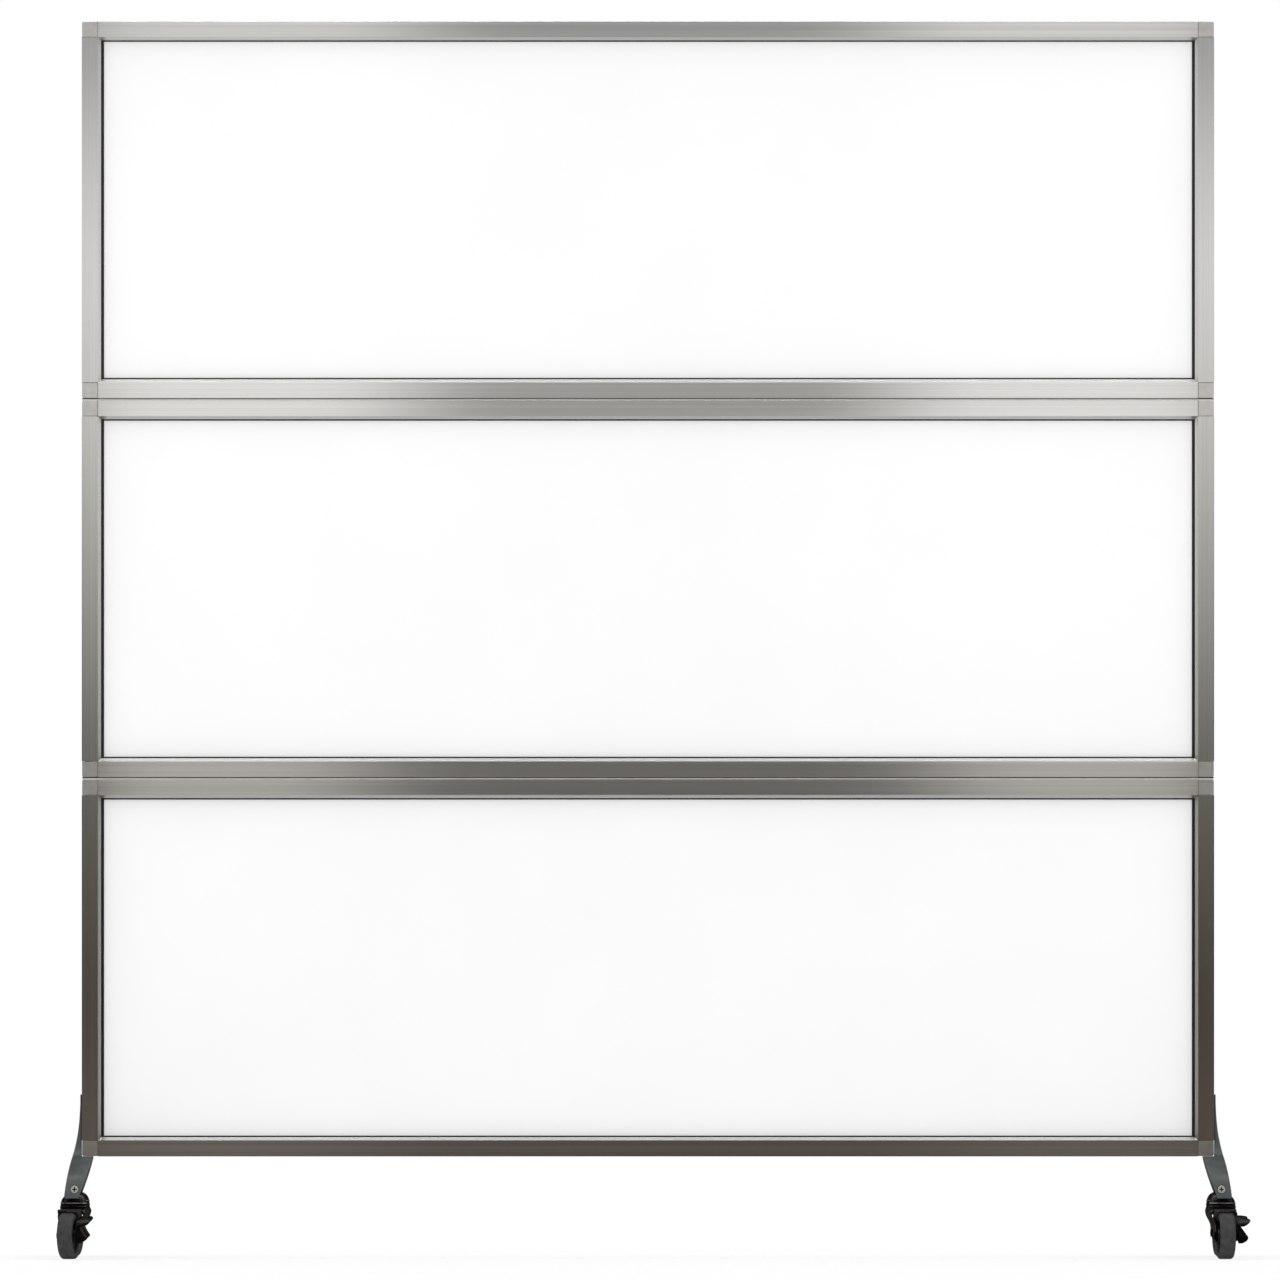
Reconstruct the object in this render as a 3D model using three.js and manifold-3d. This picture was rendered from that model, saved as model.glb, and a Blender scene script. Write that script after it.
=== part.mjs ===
// Portable medical divider: three framed panels stacked in one upright screen on two legs
// with four swivelling, braked casters.
// Millimetres, +Z up, +X to the right of a person facing the front, the front faces -Y.
// The origin is on the floor under the middle of the whole footprint. All four casters trail
// towards -Y, as they do after the screen has been pushed back, with their brakes on the right.
import * as THREE from 'three';
import { mergeVertices } from 'three/addons/utils/BufferGeometryUtils.js';
import Module from 'manifold-3d';

// Overall sizes
const screenWidth = 1828.8;
const sectionHeight = 609.6;
const seam = 2.4;
const levels = ['lower', 'middle', 'upper'];

// Fits
const gap = 0.3;
const overrun = 5;

// Aluminium extrusion of the stiles and rails
const profileDepth = 44;
const faceWidth = 26;
const lipWidth = 5;
const lipDrop = 8;
const profileWall = 2;
const outerEdge = 1;
const channelHalf = 5;
const channelDepth = 10;
const grooveHalf = 6;
const grooveDepth = 3;

// Cast corner blocks
const blockInset = 0.6;
const blockRound = 3;
const blockBevel = 0.8;
const tenonLength = 40;
const tenonTaper = 2;
const dowelRadius = 4;
const dowelLength = 12;

// Panel and its rubber gasket
const panelThickness = 6;
const panelRound = 4;
const gasketWall = 1.4;
const gasketBeadOut = 1.6;
const gasketShowSide = 4.8;
const gasketShowRail = 2.4;

// Joining strip in each seam
const stripHalfDepth = 19;

// Legs
const legReach = 217;
const legHeight = 58.6;
const lipOverhang = 7.3;
const legWall = 2.6;
const legLipThickness = 3.2;
const tongueRise = 100;
const tongueThickness = 2.2;
const tongueHalf = 16;
const tongueRound = 6;
const hipSpread = 15;
const kneeSpread = 22.8;
const footSpread = 26.5;
const footInner = 3.5;
const footCorner = 3;
const hipInner = 18.5;
const shoulderHalf = 40;
const toeHeight = 22.2;
const toeRound = 15;
const archRise = 26;
const archSetback = 77;

// Screws of the legs
const screwRadius = 2.5;
const screwHeadRadius = 4.8;
const screwHeadHeight = 1.9;
const screwHalfPitch = 11;
const screwBelowTop = 15;
const nutBarThickness = 6;
const nutBarHalfLength = 17;
const nutBarHeight = 26;

// Casters
const stemOut = 11.1;
const stemSetback = 27;
const rightToe = 7.5;
const leftToe = 12;
const trail = 35;
const stemRadius = 5.5;
const stemLength = 21;
const stemBossWall = 2.6;
const thrustWasherRadius = 10;
const thrustWasherThickness = 1;
const kingpinRadius = 6;
const kingpinHeadRadius = 9.5;
const kingpinHeadHeight = 2.6;

// Fork
const crownRadius = 22.3;
const crownHeight = 27.3;
const crownShoulder = 8;
const crownDome = 17.5;
const crownWall = 2.4;
const crownWeb = 8;
const beadOut = 0.9;
const beadHalf = 1.3;
const forkPlate = 2.6;
const forkBendDrop = 6.5;
const forkArmRise = 12.9;
const forkEndRadius = 10.5;
const forkFlare = 8;
const hoodRound = 5;

// Wheel
const wheelRadius = 38.1;
const wheelWidth = 25.4;
const wheelSideGap = 1.4;
const wheelTopGap = 1.3;
const tyreBore = 28;
const tyreShoulder = 5.5;
const tyreSideDish = 1.2;
const hubBarrelRadius = 9.5;
const hubWebHalf = 3.2;
const hubRimWall = 3;
const hubRimHalf = 10.8;
const axleRadius = 4;
const nutRadius = 7.4;
const boltHeadHeight = 2.6;
const nutHeight = 3.6;

// Brake rocker
const rockerPlate = 2.4;
const rockerEyeRadius = 9;
const rockerInner = 11;
const rockerOuter = 31;
const rockerLow = -24;
const rockerHigh = 66;
const rockerReach = 38.4;

// Faces of the round work
const tyreSteps = 28;
const hubSteps = 20;
const crownSteps = 20;
const stemSteps = 16;
const axleSteps = 12;
const arcSteps = 3;
const domeSteps = 5;
const legSteps = 5;

// Worked out from the above
const halfWidth = screenWidth / 2;
const halfDepth = profileDepth / 2;
const profileWidth = faceWidth + lipWidth;
const channelBottom = profileWidth - channelDepth;
const chamberInner = channelBottom - profileWall;
const chamberOuter = grooveDepth + profileWall;
const chamberHalf = halfDepth - profileWall;
const crownBottom = wheelRadius * 2 + wheelTopGap;
const forkBendTop = crownBottom - forkBendDrop;
const forkBendBottom = wheelRadius + forkArmRise;
const casterHeight = crownBottom + crownHeight;
const legLipBottom = casterHeight - lipOverhang;
const toeTop = casterHeight + toeHeight;
const frameBottom = casterHeight + legHeight;
const archHalf = legReach - archSetback;
const stemX = halfWidth + stemOut;
const stemY = legReach - stemSetback;
const tongueTop = frameBottom + tongueRise;
const screwHeight = tongueTop - screwBelowTop;
const blockHalfDepth = halfDepth - gap;

const aluminium = { color: 0xb4b3ae, roughness: 0.38, metalness: 0.9 };
const castMetal = { color: 0xa6a29b, roughness: 0.5, metalness: 0.85 };
const whiteSheet = { color: 0xfafafa, roughness: 0.45, metalness: 0 };
const blackRubber = { color: 0x1a1917, roughness: 0.7, metalness: 0 };
const legPaint = { color: 0x5a6466, roughness: 0.45, metalness: 0.4 };
const blackSteel = { color: 0x0b0b0b, roughness: 0.25, metalness: 0.4 };
const zincSteel = { color: 0xc8c9c6, roughness: 0.3, metalness: 0.95 };
const greyRubber = { color: 0x3c3c3c, roughness: 0.75, metalness: 0 };
const blackPlastic = { color: 0x161616, roughness: 0.4, metalness: 0 };

const wasm = await Module();
wasm.setup();

function solidOf(geometry) {
  const bare = geometry.clone();
  bare.deleteAttribute('normal');
  bare.deleteAttribute('uv');
  const merged = mergeVertices(bare);
  return new wasm.Manifold(new wasm.Mesh({
    numProp: 3,
    vertProperties: new Float32Array(merged.attributes.position.array),
    triVerts: new Uint32Array(merged.index.array),
  }));
}

function geometryOf(solid) {
  const mesh = solid.getMesh();
  const geometry = new THREE.BufferGeometry();
  geometry.setAttribute('position', new THREE.BufferAttribute(mesh.vertProperties, 3));
  geometry.setIndex(new THREE.BufferAttribute(mesh.triVerts, 1));
  geometry.computeVertexNormals();
  return geometry;
}

function cut(body, ...tools) {
  return tools.reduce((rest, tool) => rest.subtract(solidOf(tool)), solidOf(body));
}

function outline(points) {
  return new THREE.Shape(points.map(([a, b]) => new THREE.Vector2(a, b)));
}

// A prism over an outline, running from one place to another along an axis. The outline is drawn
// in (y, z) for a prism along x, in (x, z) for one along y and in (x, y) for one along z.
const xAxis = new THREE.Vector3(1, 0, 0);
const yAxis = new THREE.Vector3(0, 1, 0);
const zAxis = new THREE.Vector3(0, 0, 1);
const prismFrames = {
  x: { across: yAxis, up: zAxis, along: xAxis, start: (from) => new THREE.Vector3(from, 0, 0) },
  y: {
    across: xAxis,
    up: zAxis,
    along: yAxis.clone().negate(),
    start: (from, to) => new THREE.Vector3(0, to, 0),
  },
  z: { across: xAxis, up: yAxis, along: zAxis, start: (from) => new THREE.Vector3(0, 0, from) },
};

function prism(shape, axis, from, to, curveSegments = arcSteps) {
  const frame = prismFrames[axis];
  const options = { depth: to - from, bevelEnabled: false, curveSegments };
  const geometry = new THREE.ExtrudeGeometry(shape, options);
  geometry.applyMatrix4(new THREE.Matrix4().makeBasis(frame.across, frame.up, frame.along));
  const start = frame.start(from, to);
  return geometry.translate(start.x, start.y, start.z);
}

function roundedRectangle(x0, y0, x1, y1, radius) {
  const shape = new THREE.Shape();
  shape.moveTo(x0 + radius, y0);
  shape.lineTo(x1 - radius, y0);
  shape.absarc(x1 - radius, y0 + radius, radius, -Math.PI / 2, 0);
  shape.lineTo(x1, y1 - radius);
  shape.absarc(x1 - radius, y1 - radius, radius, 0, Math.PI / 2);
  shape.lineTo(x0 + radius, y1);
  shape.absarc(x0 + radius, y1 - radius, radius, Math.PI / 2, Math.PI);
  shape.lineTo(x0, y0 + radius);
  shape.absarc(x0 + radius, y0 + radius, radius, Math.PI, Math.PI * 3 / 2);
  return shape;
}

// A revolve about the z axis, or laid down along x, over a profile of (radius, place) points.
function revolve(points, steps, axis = 'z') {
  const profile = points.map(([radius, place]) => new THREE.Vector2(radius, place));
  const geometry = new THREE.LatheGeometry(profile, steps);
  return axis === 'z' ? geometry.rotateX(Math.PI / 2) : geometry.rotateZ(-Math.PI / 2);
}

function box(x0, x1, y0, y1, z0, z1) {
  const corners = [[x0, y0], [x1, y0], [x1, y1], [x0, y1]];
  return prism(outline(corners), 'z', z0, z1);
}

function rod(radius, axis, from, to, steps = axleSteps) {
  return revolve([[0, from], [radius, from], [radius, to], [0, to]], steps, axis);
}

// Section of the extrusion: u runs inward from the frame's outer edge, v through its depth.
function profileShape() {
  const half = [
    [0, grooveHalf],
    [0, halfDepth - outerEdge],
    [outerEdge, halfDepth],
    [faceWidth, halfDepth],
    [profileWidth, halfDepth - lipDrop],
    [profileWidth, channelHalf],
    [channelBottom, channelHalf],
  ];
  const ring = [[grooveDepth, grooveHalf], ...half];
  const shape = outline([...mirrored(ring), ...ring.reverse()]);
  const slope = lipWidth / lipDrop;
  const lipEnd = profileWidth - profileWall;
  const pocketInner = channelHalf + profileWall;
  const pocketOuter = halfDepth - lipDrop - profileWall * slope;
  const chamber = [
    [chamberOuter, grooveHalf + profileWall],
    [profileWall, grooveHalf + profileWall],
    [profileWall, chamberHalf],
    [faceWidth - profileWall * slope, chamberHalf],
    [lipEnd, pocketOuter],
    [lipEnd, pocketInner],
    [chamberInner, pocketInner],
  ];
  shape.holes.push(outline([...mirrored(chamber), ...chamber.reverse()]));
  return shape;
}

function mirrored(points) {
  return points.map(([u, v]) => [u, -v]);
}

// One length of extrusion between two corner blocks, standing along z with its outer edge at
// x = 0. The face is cut square and the lip is mitred.
function extrusion(sideLength, screwHoles) {
  const end = sideLength / 2 - faceWidth - gap;
  const bar = prism(profileShape(), 'z', -end, end);
  const mitre = [
    [faceWidth, end],
    [faceWidth, end + overrun],
    [profileWidth + overrun, end + overrun],
    [profileWidth + overrun, end - lipWidth - overrun],
  ];
  const lower = mitre.map(([u, w]) => [u, -w]);
  const front = halfDepth + overrun;
  const tools = [
    prism(outline(mitre), 'y', -front, front),
    prism(outline(lower), 'y', -front, front),
  ];
  screwHoles.forEach(({ y, z }) => {
    const hole = rod(screwRadius + gap, 'x', -overrun, chamberOuter + overrun);
    tools.push(hole.translate(0, y, z));
  });
  return geometryOf(cut(bar, ...tools));
}

// A corner block with a tenon up the stile and one along the rail. Its outer corner is at the
// origin, and the block lies towards +x and +z. A notch carries the channel round the corner.
function cornerBlock(dowelHole) {
  const square = new THREE.Shape();
  const face = faceWidth;
  square.moveTo(blockInset + blockRound, blockInset);
  square.lineTo(face, blockInset);
  square.lineTo(face, face);
  square.lineTo(blockInset, face);
  square.lineTo(blockInset, blockInset + blockRound);
  square.absarc(blockInset + blockRound, blockInset + blockRound, blockRound, Math.PI, Math.PI * 3 / 2);
  const bevel = { depth: 2 * (blockHalfDepth - blockBevel), curveSegments: arcSteps };
  Object.assign(bevel, { bevelSize: blockBevel, bevelThickness: blockBevel });
  Object.assign(bevel, { bevelOffset: -blockBevel, bevelSegments: 1 });
  const block = new THREE.ExtrudeGeometry(square, bevel);
  block.applyMatrix4(new THREE.Matrix4().makeBasis(xAxis, zAxis, yAxis.clone().negate()));
  block.translate(0, blockHalfDepth - blockBevel, 0);
  const tenonOuter = chamberOuter + gap;
  const tenonInner = chamberInner - gap;
  const tenonHalf = chamberHalf - gap;
  const root = face - overrun;
  const shoulder = face + tenonLength - tenonTaper;
  const tip = face + tenonLength;
  const plan = [
    [root, tenonOuter],
    [shoulder, tenonOuter],
    [tip, tenonOuter + tenonTaper],
    [tip, tenonInner - tenonTaper],
    [shoulder, tenonInner],
    [root, tenonInner],
  ];
  const along = prism(outline(plan), 'y', -tenonHalf, tenonHalf);
  const up = prism(outline(plan.map(([a, b]) => [b, a]).reverse()), 'y', -tenonHalf, tenonHalf);
  const notchEnd = face + overrun;
  const notch = box(channelBottom, notchEnd, -channelHalf, channelHalf, channelBottom, notchEnd);
  let solid = cut(block, notch).add(solidOf(along)).add(solidOf(up));
  if (dowelHole) {
    const hole = rod(dowelRadius + gap, 'z', -overrun, dowelLength + seam);
    solid = solid.subtract(solidOf(hole.translate(faceWidth / 2, 0, 0)));
  }
  return geometryOf(solid);
}

// Section of the gasket, in u and v: a channel round the panel's edge with a bead on each side
// that lies on the extrusion's lip. Only how far it shows beyond the lip differs by side.
function gasketSection(show) {
  const inner = panelThickness / 2 + gap;
  const outer = channelHalf - gap;
  const back = channelBottom + gap;
  const lip = profileWidth + gap;
  const tip = profileWidth + show;
  const bead = outer + gasketBeadOut;
  const half = [
    [back, outer],
    [lip, outer],
    [lip, bead - gasketBeadOut / 3],
    [lip + (tip - lip) / 3, bead],
    [tip - (tip - lip) / 4, bead - gasketBeadOut / 2],
    [tip, outer - gap],
    [tip, inner],
    [back + gasketWall, inner],
  ];
  return [...half, ...mirrored(half).reverse()];
}

// A section swept round a rectangle, mitred at the corners and closed on itself.
function mitredLoop(sideSection, railSection, width, height) {
  const corners = [[-1, -1], [1, -1], [1, 1], [-1, 1]];
  const points = [];
  corners.forEach(([right, up]) => {
    sideSection.forEach(([u, v], i) => {
      const x = right * (width / 2 - u);
      const z = up * (height / 2 - railSection[i][0]);
      points.push(x, v, z);
    });
  });
  const count = sideSection.length;
  const faces = [];
  corners.forEach((corner, c) => {
    const here = c * count;
    const next = ((c + 1) % corners.length) * count;
    sideSection.forEach((point, i) => {
      const j = (i + 1) % count;
      faces.push(here + i, here + j, next + j, here + i, next + j, next + i);
    });
  });
  const geometry = new THREE.BufferGeometry();
  geometry.setAttribute('position', new THREE.Float32BufferAttribute(points, 3));
  geometry.setIndex(faces);
  geometry.computeVertexNormals();
  return geometry;
}

function panelSheet() {
  const edge = channelBottom + gap + gasketWall + gap;
  const x = halfWidth - edge;
  const z = sectionHeight / 2 - edge;
  return prism(roundedRectangle(-x, -z, x, z, panelRound), 'y', -panelThickness / 2, panelThickness / 2);
}

// The strip lies in the seam, keys into the grooves of both rails, and fills the space between
// the corner blocks with a thicker pad at each end. Its dowels stand in those blocks.
function joiningStrip() {
  const web = seam / 2 - gap;
  const key = seam / 2 + grooveDepth - gap;
  const reach = halfWidth - blockInset;
  const keyReach = halfWidth - faceWidth - gap;
  const keyHalf = grooveHalf - gap;
  const pad = seam / 2 + blockInset - gap;
  const padMiddle = halfWidth - (faceWidth + blockInset) / 2;
  const padHalf = (faceWidth - blockInset) / 2;
  let solid = solidOf(box(-reach, reach, -stripHalfDepth, stripHalfDepth, -web, web));
  solid = solid.add(solidOf(box(-keyReach, keyReach, -keyHalf, keyHalf, -key, key)));
  [-1, 1].forEach((side) => {
    const block = box(-padHalf, padHalf, -stripHalfDepth, stripHalfDepth, -pad, pad);
    solid = solid.add(solidOf(block.translate(side * padMiddle, 0, 0)));
    const dowel = rod(dowelRadius, 'z', -dowelLength, dowelLength);
    solid = solid.add(solidOf(dowel.translate(side * (halfWidth - faceWidth / 2), 0, 0)));
  });
  return geometryOf(solid);
}

// The right leg seen from the front, in (x, z). The tongue stands on the stile's outer face,
// and the foot splays outward below the frame. An inset gives the hollow inside.
function legFront(inset) {
  const outer = halfWidth + gap;
  const bottom = legLipBottom - (inset ? overrun : 0);
  const hip = frameBottom - gap - inset;
  const knee = (frameBottom + legLipBottom) / 2;
  const hipOut = halfWidth + hipSpread;
  const kneeOut = halfWidth + kneeSpread;
  const footOut = halfWidth + footSpread;
  const shape = new THREE.Shape();
  shape.moveTo(halfWidth - hipInner + inset, hip);
  shape.quadraticCurveTo(
    halfWidth - hipInner / 2 + inset, knee,
    halfWidth + footInner + inset, bottom,
  );
  shape.lineTo(footOut - footCorner - inset, bottom);
  shape.quadraticCurveTo(footOut - inset, bottom, footOut - inset, legLipBottom + footCorner);
  shape.quadraticCurveTo(kneeOut - inset, knee, hipOut - inset, frameBottom - inset);
  if (inset) {
    return shape;
  }
  shape.bezierCurveTo(
    outer + hipSpread / 2, frameBottom + tongueRise / 4,
    outer + tongueThickness, frameBottom + tongueRise / 2,
    outer + tongueThickness, tongueTop,
  );
  shape.lineTo(outer, tongueTop);
  shape.lineTo(outer, hip);
  return shape;
}

// The leg seen from the side, in (y, z): a tongue that spreads into two arms, each falling to
// a turned-down toe over its caster. An inset gives the hollow inside.
function legSide(inset) {
  const reach = legReach - (inset ? legLipThickness : 0);
  const hip = frameBottom - gap - inset;
  const under = casterHeight + gap;
  const toe = toeTop - inset;
  const shape = new THREE.Shape();
  shape.moveTo(-reach, inset ? under - overrun : legLipBottom);
  shape.lineTo(inset ? reach : -reach + legLipThickness, inset ? under - overrun : legLipBottom);
  if (!inset) {
    shape.lineTo(-reach + legLipThickness, under);
    shape.lineTo(-archHalf - shoulderHalf / 2, under);
    shape.quadraticCurveTo(-archHalf / 2, under + archRise, 0, under + archRise);
    shape.quadraticCurveTo(archHalf / 2, under + archRise, archHalf + shoulderHalf / 2, under);
    shape.lineTo(reach - legLipThickness, under);
    shape.lineTo(reach - legLipThickness, legLipBottom);
    shape.lineTo(reach, legLipBottom);
  }
  shape.lineTo(reach, toe - toeRound);
  shape.quadraticCurveTo(reach, toe, reach - toeRound, toe + (hip - toe) / 4);
  shape.quadraticCurveTo(reach / 2, hip, shoulderHalf, hip);
  if (!inset) {
    shape.quadraticCurveTo(tongueHalf, hip, tongueHalf, frameBottom + shoulderHalf);
    shape.lineTo(tongueHalf, tongueTop - tongueRound);
    shape.absarc(tongueHalf - tongueRound, tongueTop - tongueRound, tongueRound, 0, Math.PI / 2);
    shape.lineTo(-tongueHalf + tongueRound, tongueTop);
    shape.absarc(-tongueHalf + tongueRound, tongueTop - tongueRound, tongueRound, Math.PI / 2, Math.PI);
    shape.lineTo(-tongueHalf, frameBottom + shoulderHalf);
    shape.quadraticCurveTo(-tongueHalf, hip, -shoulderHalf, hip);
  } else {
    shape.lineTo(-shoulderHalf, hip);
  }
  shape.quadraticCurveTo(-reach / 2, hip, -reach + toeRound, toe + (hip - toe) / 4);
  shape.quadraticCurveTo(-reach, toe, -reach, toe - toeRound);
  return shape;
}

function legBody(inset) {
  const ends = legReach + overrun;
  const from = halfWidth - hipInner - overrun;
  const to = halfWidth + footSpread + overrun;
  const front = solidOf(prism(legFront(inset), 'y', -ends, ends, legSteps));
  return front.intersect(solidOf(prism(legSide(inset), 'x', from, to, legSteps)));
}

function screwPlaces() {
  return [-1, 1].map((side) => ({ y: side * screwHalfPitch, z: screwHeight }));
}

function screwHead(radius, clearance) {
  const face = halfWidth + gap + tongueThickness;
  const root = face - screwHeadHeight;
  return revolve([
    [0, root - clearance],
    [screwRadius, root - clearance],
    [radius, face],
    [radius, face + clearance],
    [0, face + clearance],
  ], axleSteps, 'x');
}

function leg() {
  let solid = legBody(0).subtract(legBody(legWall));
  const under = casterHeight + gap;
  const bossRadius = stemRadius + gap + stemBossWall;
  [-1, 1].forEach((side) => {
    const boss = rod(bossRadius, 'z', under, frameBottom).translate(stemX, side * stemY, 0);
    solid = solid.add(solidOf(boss).intersect(legBody(0)));
    const bore = rod(stemRadius + gap, 'z', under - overrun, casterHeight + stemLength + gap);
    solid = solid.subtract(solidOf(bore.translate(stemX, side * stemY, 0)));
  });
  screwPlaces().forEach(({ y, z }) => {
    const hole = rod(screwRadius + gap, 'x', halfWidth - overrun, halfWidth + overrun);
    solid = solid.subtract(solidOf(hole.translate(0, y, z)));
    const sink = screwHead(screwHeadRadius + gap, gap);
    solid = solid.subtract(solidOf(sink.translate(0, y, z)));
  });
  return geometryOf(solid);
}

// The nut bar inside the stile with the two countersunk screws drawn into it.
function legFixing() {
  const face = halfWidth + gap + tongueThickness;
  const barOuter = halfWidth - chamberOuter - gap;
  const barInner = barOuter - nutBarThickness;
  const bottom = screwHeight - nutBarHeight / 2;
  let solid = solidOf(box(
    barInner, barOuter, -nutBarHalfLength, nutBarHalfLength, bottom, bottom + nutBarHeight,
  ));
  screwPlaces().forEach(({ y, z }) => {
    const shank = rod(screwRadius, 'x', barInner + profileWall, face - screwHeadHeight / 2);
    solid = solid.add(solidOf(shank.translate(0, y, z)));
    solid = solid.add(solidOf(screwHead(screwHeadRadius, 0).translate(0, y, z)));
  });
  return geometryOf(solid);
}

// The casters are drawn with the stem on the z axis, the wheel trailing towards -y and the
// brake on the +x side.
function casterTop() {
  const washerBottom = casterHeight - thrustWasherThickness;
  const webBottom = washerBottom - gap - crownWeb;
  const headTop = webBottom - gap;
  return revolve([
    [0, headTop - kingpinHeadHeight],
    [kingpinHeadRadius, headTop - kingpinHeadHeight],
    [kingpinHeadRadius, headTop],
    [kingpinRadius, headTop],
    [kingpinRadius, washerBottom],
    [thrustWasherRadius, washerBottom],
    [thrustWasherRadius, casterHeight],
    [stemRadius, casterHeight],
    [stemRadius, casterHeight + stemLength - gap],
    [0, casterHeight + stemLength - gap],
  ], stemSteps);
}

// The crown is a domed housing with one bead round it, and is hollow below its web.
function crownProfile() {
  const top = casterHeight - thrustWasherThickness - gap;
  const underWeb = top - crownWeb;
  const bore = kingpinRadius + gap;
  const domeBottom = top - crownDome;
  const bead = domeBottom - beadHalf - beadOut;
  const points = [
    [bore, underWeb],
    [kingpinHeadRadius + crownWall, underWeb],
    [crownRadius - crownWall, domeBottom - crownWall],
    [crownRadius - crownWall, crownBottom],
    [crownRadius, crownBottom],
    [crownRadius - beadOut, bead - beadHalf],
    [crownRadius, bead],
    [crownRadius - beadOut, bead + beadHalf],
  ];
  for (let i = 1; i <= domeSteps; i += 1) {
    const turn = (i / domeSteps) * Math.PI / 2;
    const radius = crownShoulder + (crownRadius - beadOut - crownShoulder) * Math.cos(turn);
    points.push([radius, domeBottom + crownDome * Math.sin(turn)]);
  }
  points.push([bore, top], [bore, underWeb]);
  return points;
}

// The arms seen from the front: pressed plate that bends in from the crown to the wheel.
function forkFront() {
  const outerTop = crownRadius - gap;
  const outerLow = wheelWidth / 2 + wheelSideGap + forkPlate;
  const rimBottom = crownBottom + crownWall;
  const half = [
    [outerTop, rimBottom],
    [outerTop, forkBendTop],
    [outerLow, forkBendBottom],
    [outerLow, 0],
    [outerLow - forkPlate, 0],
    [outerLow - forkPlate, forkBendBottom],
    [outerTop - forkPlate, forkBendTop],
    [outerTop - forkPlate, rimBottom],
  ];
  return [outline(half), outline(mirrored(half.map(([a, b]) => [b, a])).map(([a, b]) => [b, a]))];
}

// The arms seen from the side: tapering from the crown to a round end about the axle.
function forkSide() {
  const top = crownBottom + crownWall;
  const halfTop = crownRadius * Math.cos(Math.PI / 4);
  const shape = new THREE.Shape();
  const axleHeight = wheelRadius;
  const lean = Math.atan2(trail, crownBottom - axleHeight);
  shape.moveTo(-halfTop, top);
  shape.lineTo(-halfTop, crownBottom - crownWall);
  shape.absarc(-trail, axleHeight, forkEndRadius, Math.PI - lean, Math.PI * 2 - lean);
  shape.lineTo(halfTop, crownBottom - crownWall);
  shape.lineTo(halfTop, top);
  return shape;
}

// A plate stands out from the foot of the crown over the wheel.
function hood() {
  const half = wheelWidth / 2 + wheelSideGap;
  const shape = roundedRectangle(-half, -trail, half, 0, hoodRound);
  const plate = solidOf(prism(shape, 'z', crownBottom, crownBottom + forkPlate));
  const hollow = rod(crownRadius - crownWall, 'z', wheelRadius, frameBottom, crownSteps);
  return plate.subtract(solidOf(hollow));
}

function fork() {
  let solid = solidOf(revolve(crownProfile(), crownSteps)).add(hood());
  const reach = crownRadius + overrun;
  const flare = solidOf(revolve([
    [0, 0],
    [reach + trail + forkEndRadius, 0],
    [reach + trail + forkEndRadius, forkBendBottom],
    [crownRadius + forkFlare, forkBendTop],
    [crownRadius, crownBottom],
    [crownRadius, crownBottom + crownWall],
    [0, crownBottom + crownWall],
  ], crownSteps));
  const side = solidOf(prism(forkSide(), 'x', -reach, reach)).intersect(flare);
  forkFront().forEach((shape) => {
    const plate = solidOf(prism(shape, 'y', -trail - reach, reach));
    solid = solid.add(plate.intersect(side));
  });
  const bore = rod(axleRadius + gap, 'x', -reach, reach).translate(0, -trail, wheelRadius);
  return geometryOf(solid.subtract(solidOf(bore)));
}

function tyre() {
  const half = wheelWidth / 2;
  const side = wheelRadius - tyreShoulder;
  const points = [[tyreBore, -half + tyreSideDish], [tyreBore, half - tyreSideDish], [side, half]];
  for (let i = 1; i < arcSteps; i += 1) {
    const turn = (i / arcSteps) * Math.PI / 2;
    const radius = side + tyreShoulder * Math.sin(turn);
    points.push([radius, half - tyreShoulder + tyreShoulder * Math.cos(turn)]);
  }
  points.push([wheelRadius, half - tyreShoulder]);
  const back = points.slice(2).map(([radius, place]) => [radius, -place]).reverse();
  return revolve([...points, ...back, points[0]].reverse(), tyreSteps, 'x');
}

function wheelHub() {
  const rimOuter = tyreBore - gap;
  const rimInner = rimOuter - hubRimWall;
  const barrelHalf = wheelWidth / 2 + wheelSideGap - gap;
  const bore = axleRadius + gap;
  const half = [
    [rimOuter, hubRimHalf],
    [rimInner, hubRimHalf],
    [rimInner - hubRimWall / 2, hubWebHalf],
    [hubBarrelRadius + hubRimWall / 2, hubWebHalf],
    [hubBarrelRadius, barrelHalf],
    [bore, barrelHalf],
  ];
  const back = half.map(([radius, place]) => [radius, -place]).reverse();
  const points = [...half, ...back, half[0]];
  return revolve(points, hubSteps, 'x');
}

function hexagon(radius) {
  const corners = [];
  const sides = 6;
  for (let i = 0; i < sides; i += 1) {
    const turn = (i / sides) * Math.PI * 2;
    corners.push([radius * Math.cos(turn), radius * Math.sin(turn)]);
  }
  return outline(corners);
}

// The axle bolt with its head on the -x side and its nut outside the brake.
function axleBolt() {
  const plateOuter = wheelWidth / 2 + wheelSideGap + forkPlate;
  const headInner = plateOuter + gap;
  const nutInner = plateOuter + gap + rockerPlate + gap + gap;
  let solid = solidOf(rod(axleRadius, 'x', -headInner - gap, nutInner + gap));
  solid = solid.add(solidOf(prism(hexagon(nutRadius), 'x', -headInner - boltHeadHeight, -headInner)));
  solid = solid.add(solidOf(prism(hexagon(nutRadius), 'x', nutInner, nutInner + nutHeight)));
  return geometryOf(solid);
}

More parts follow.
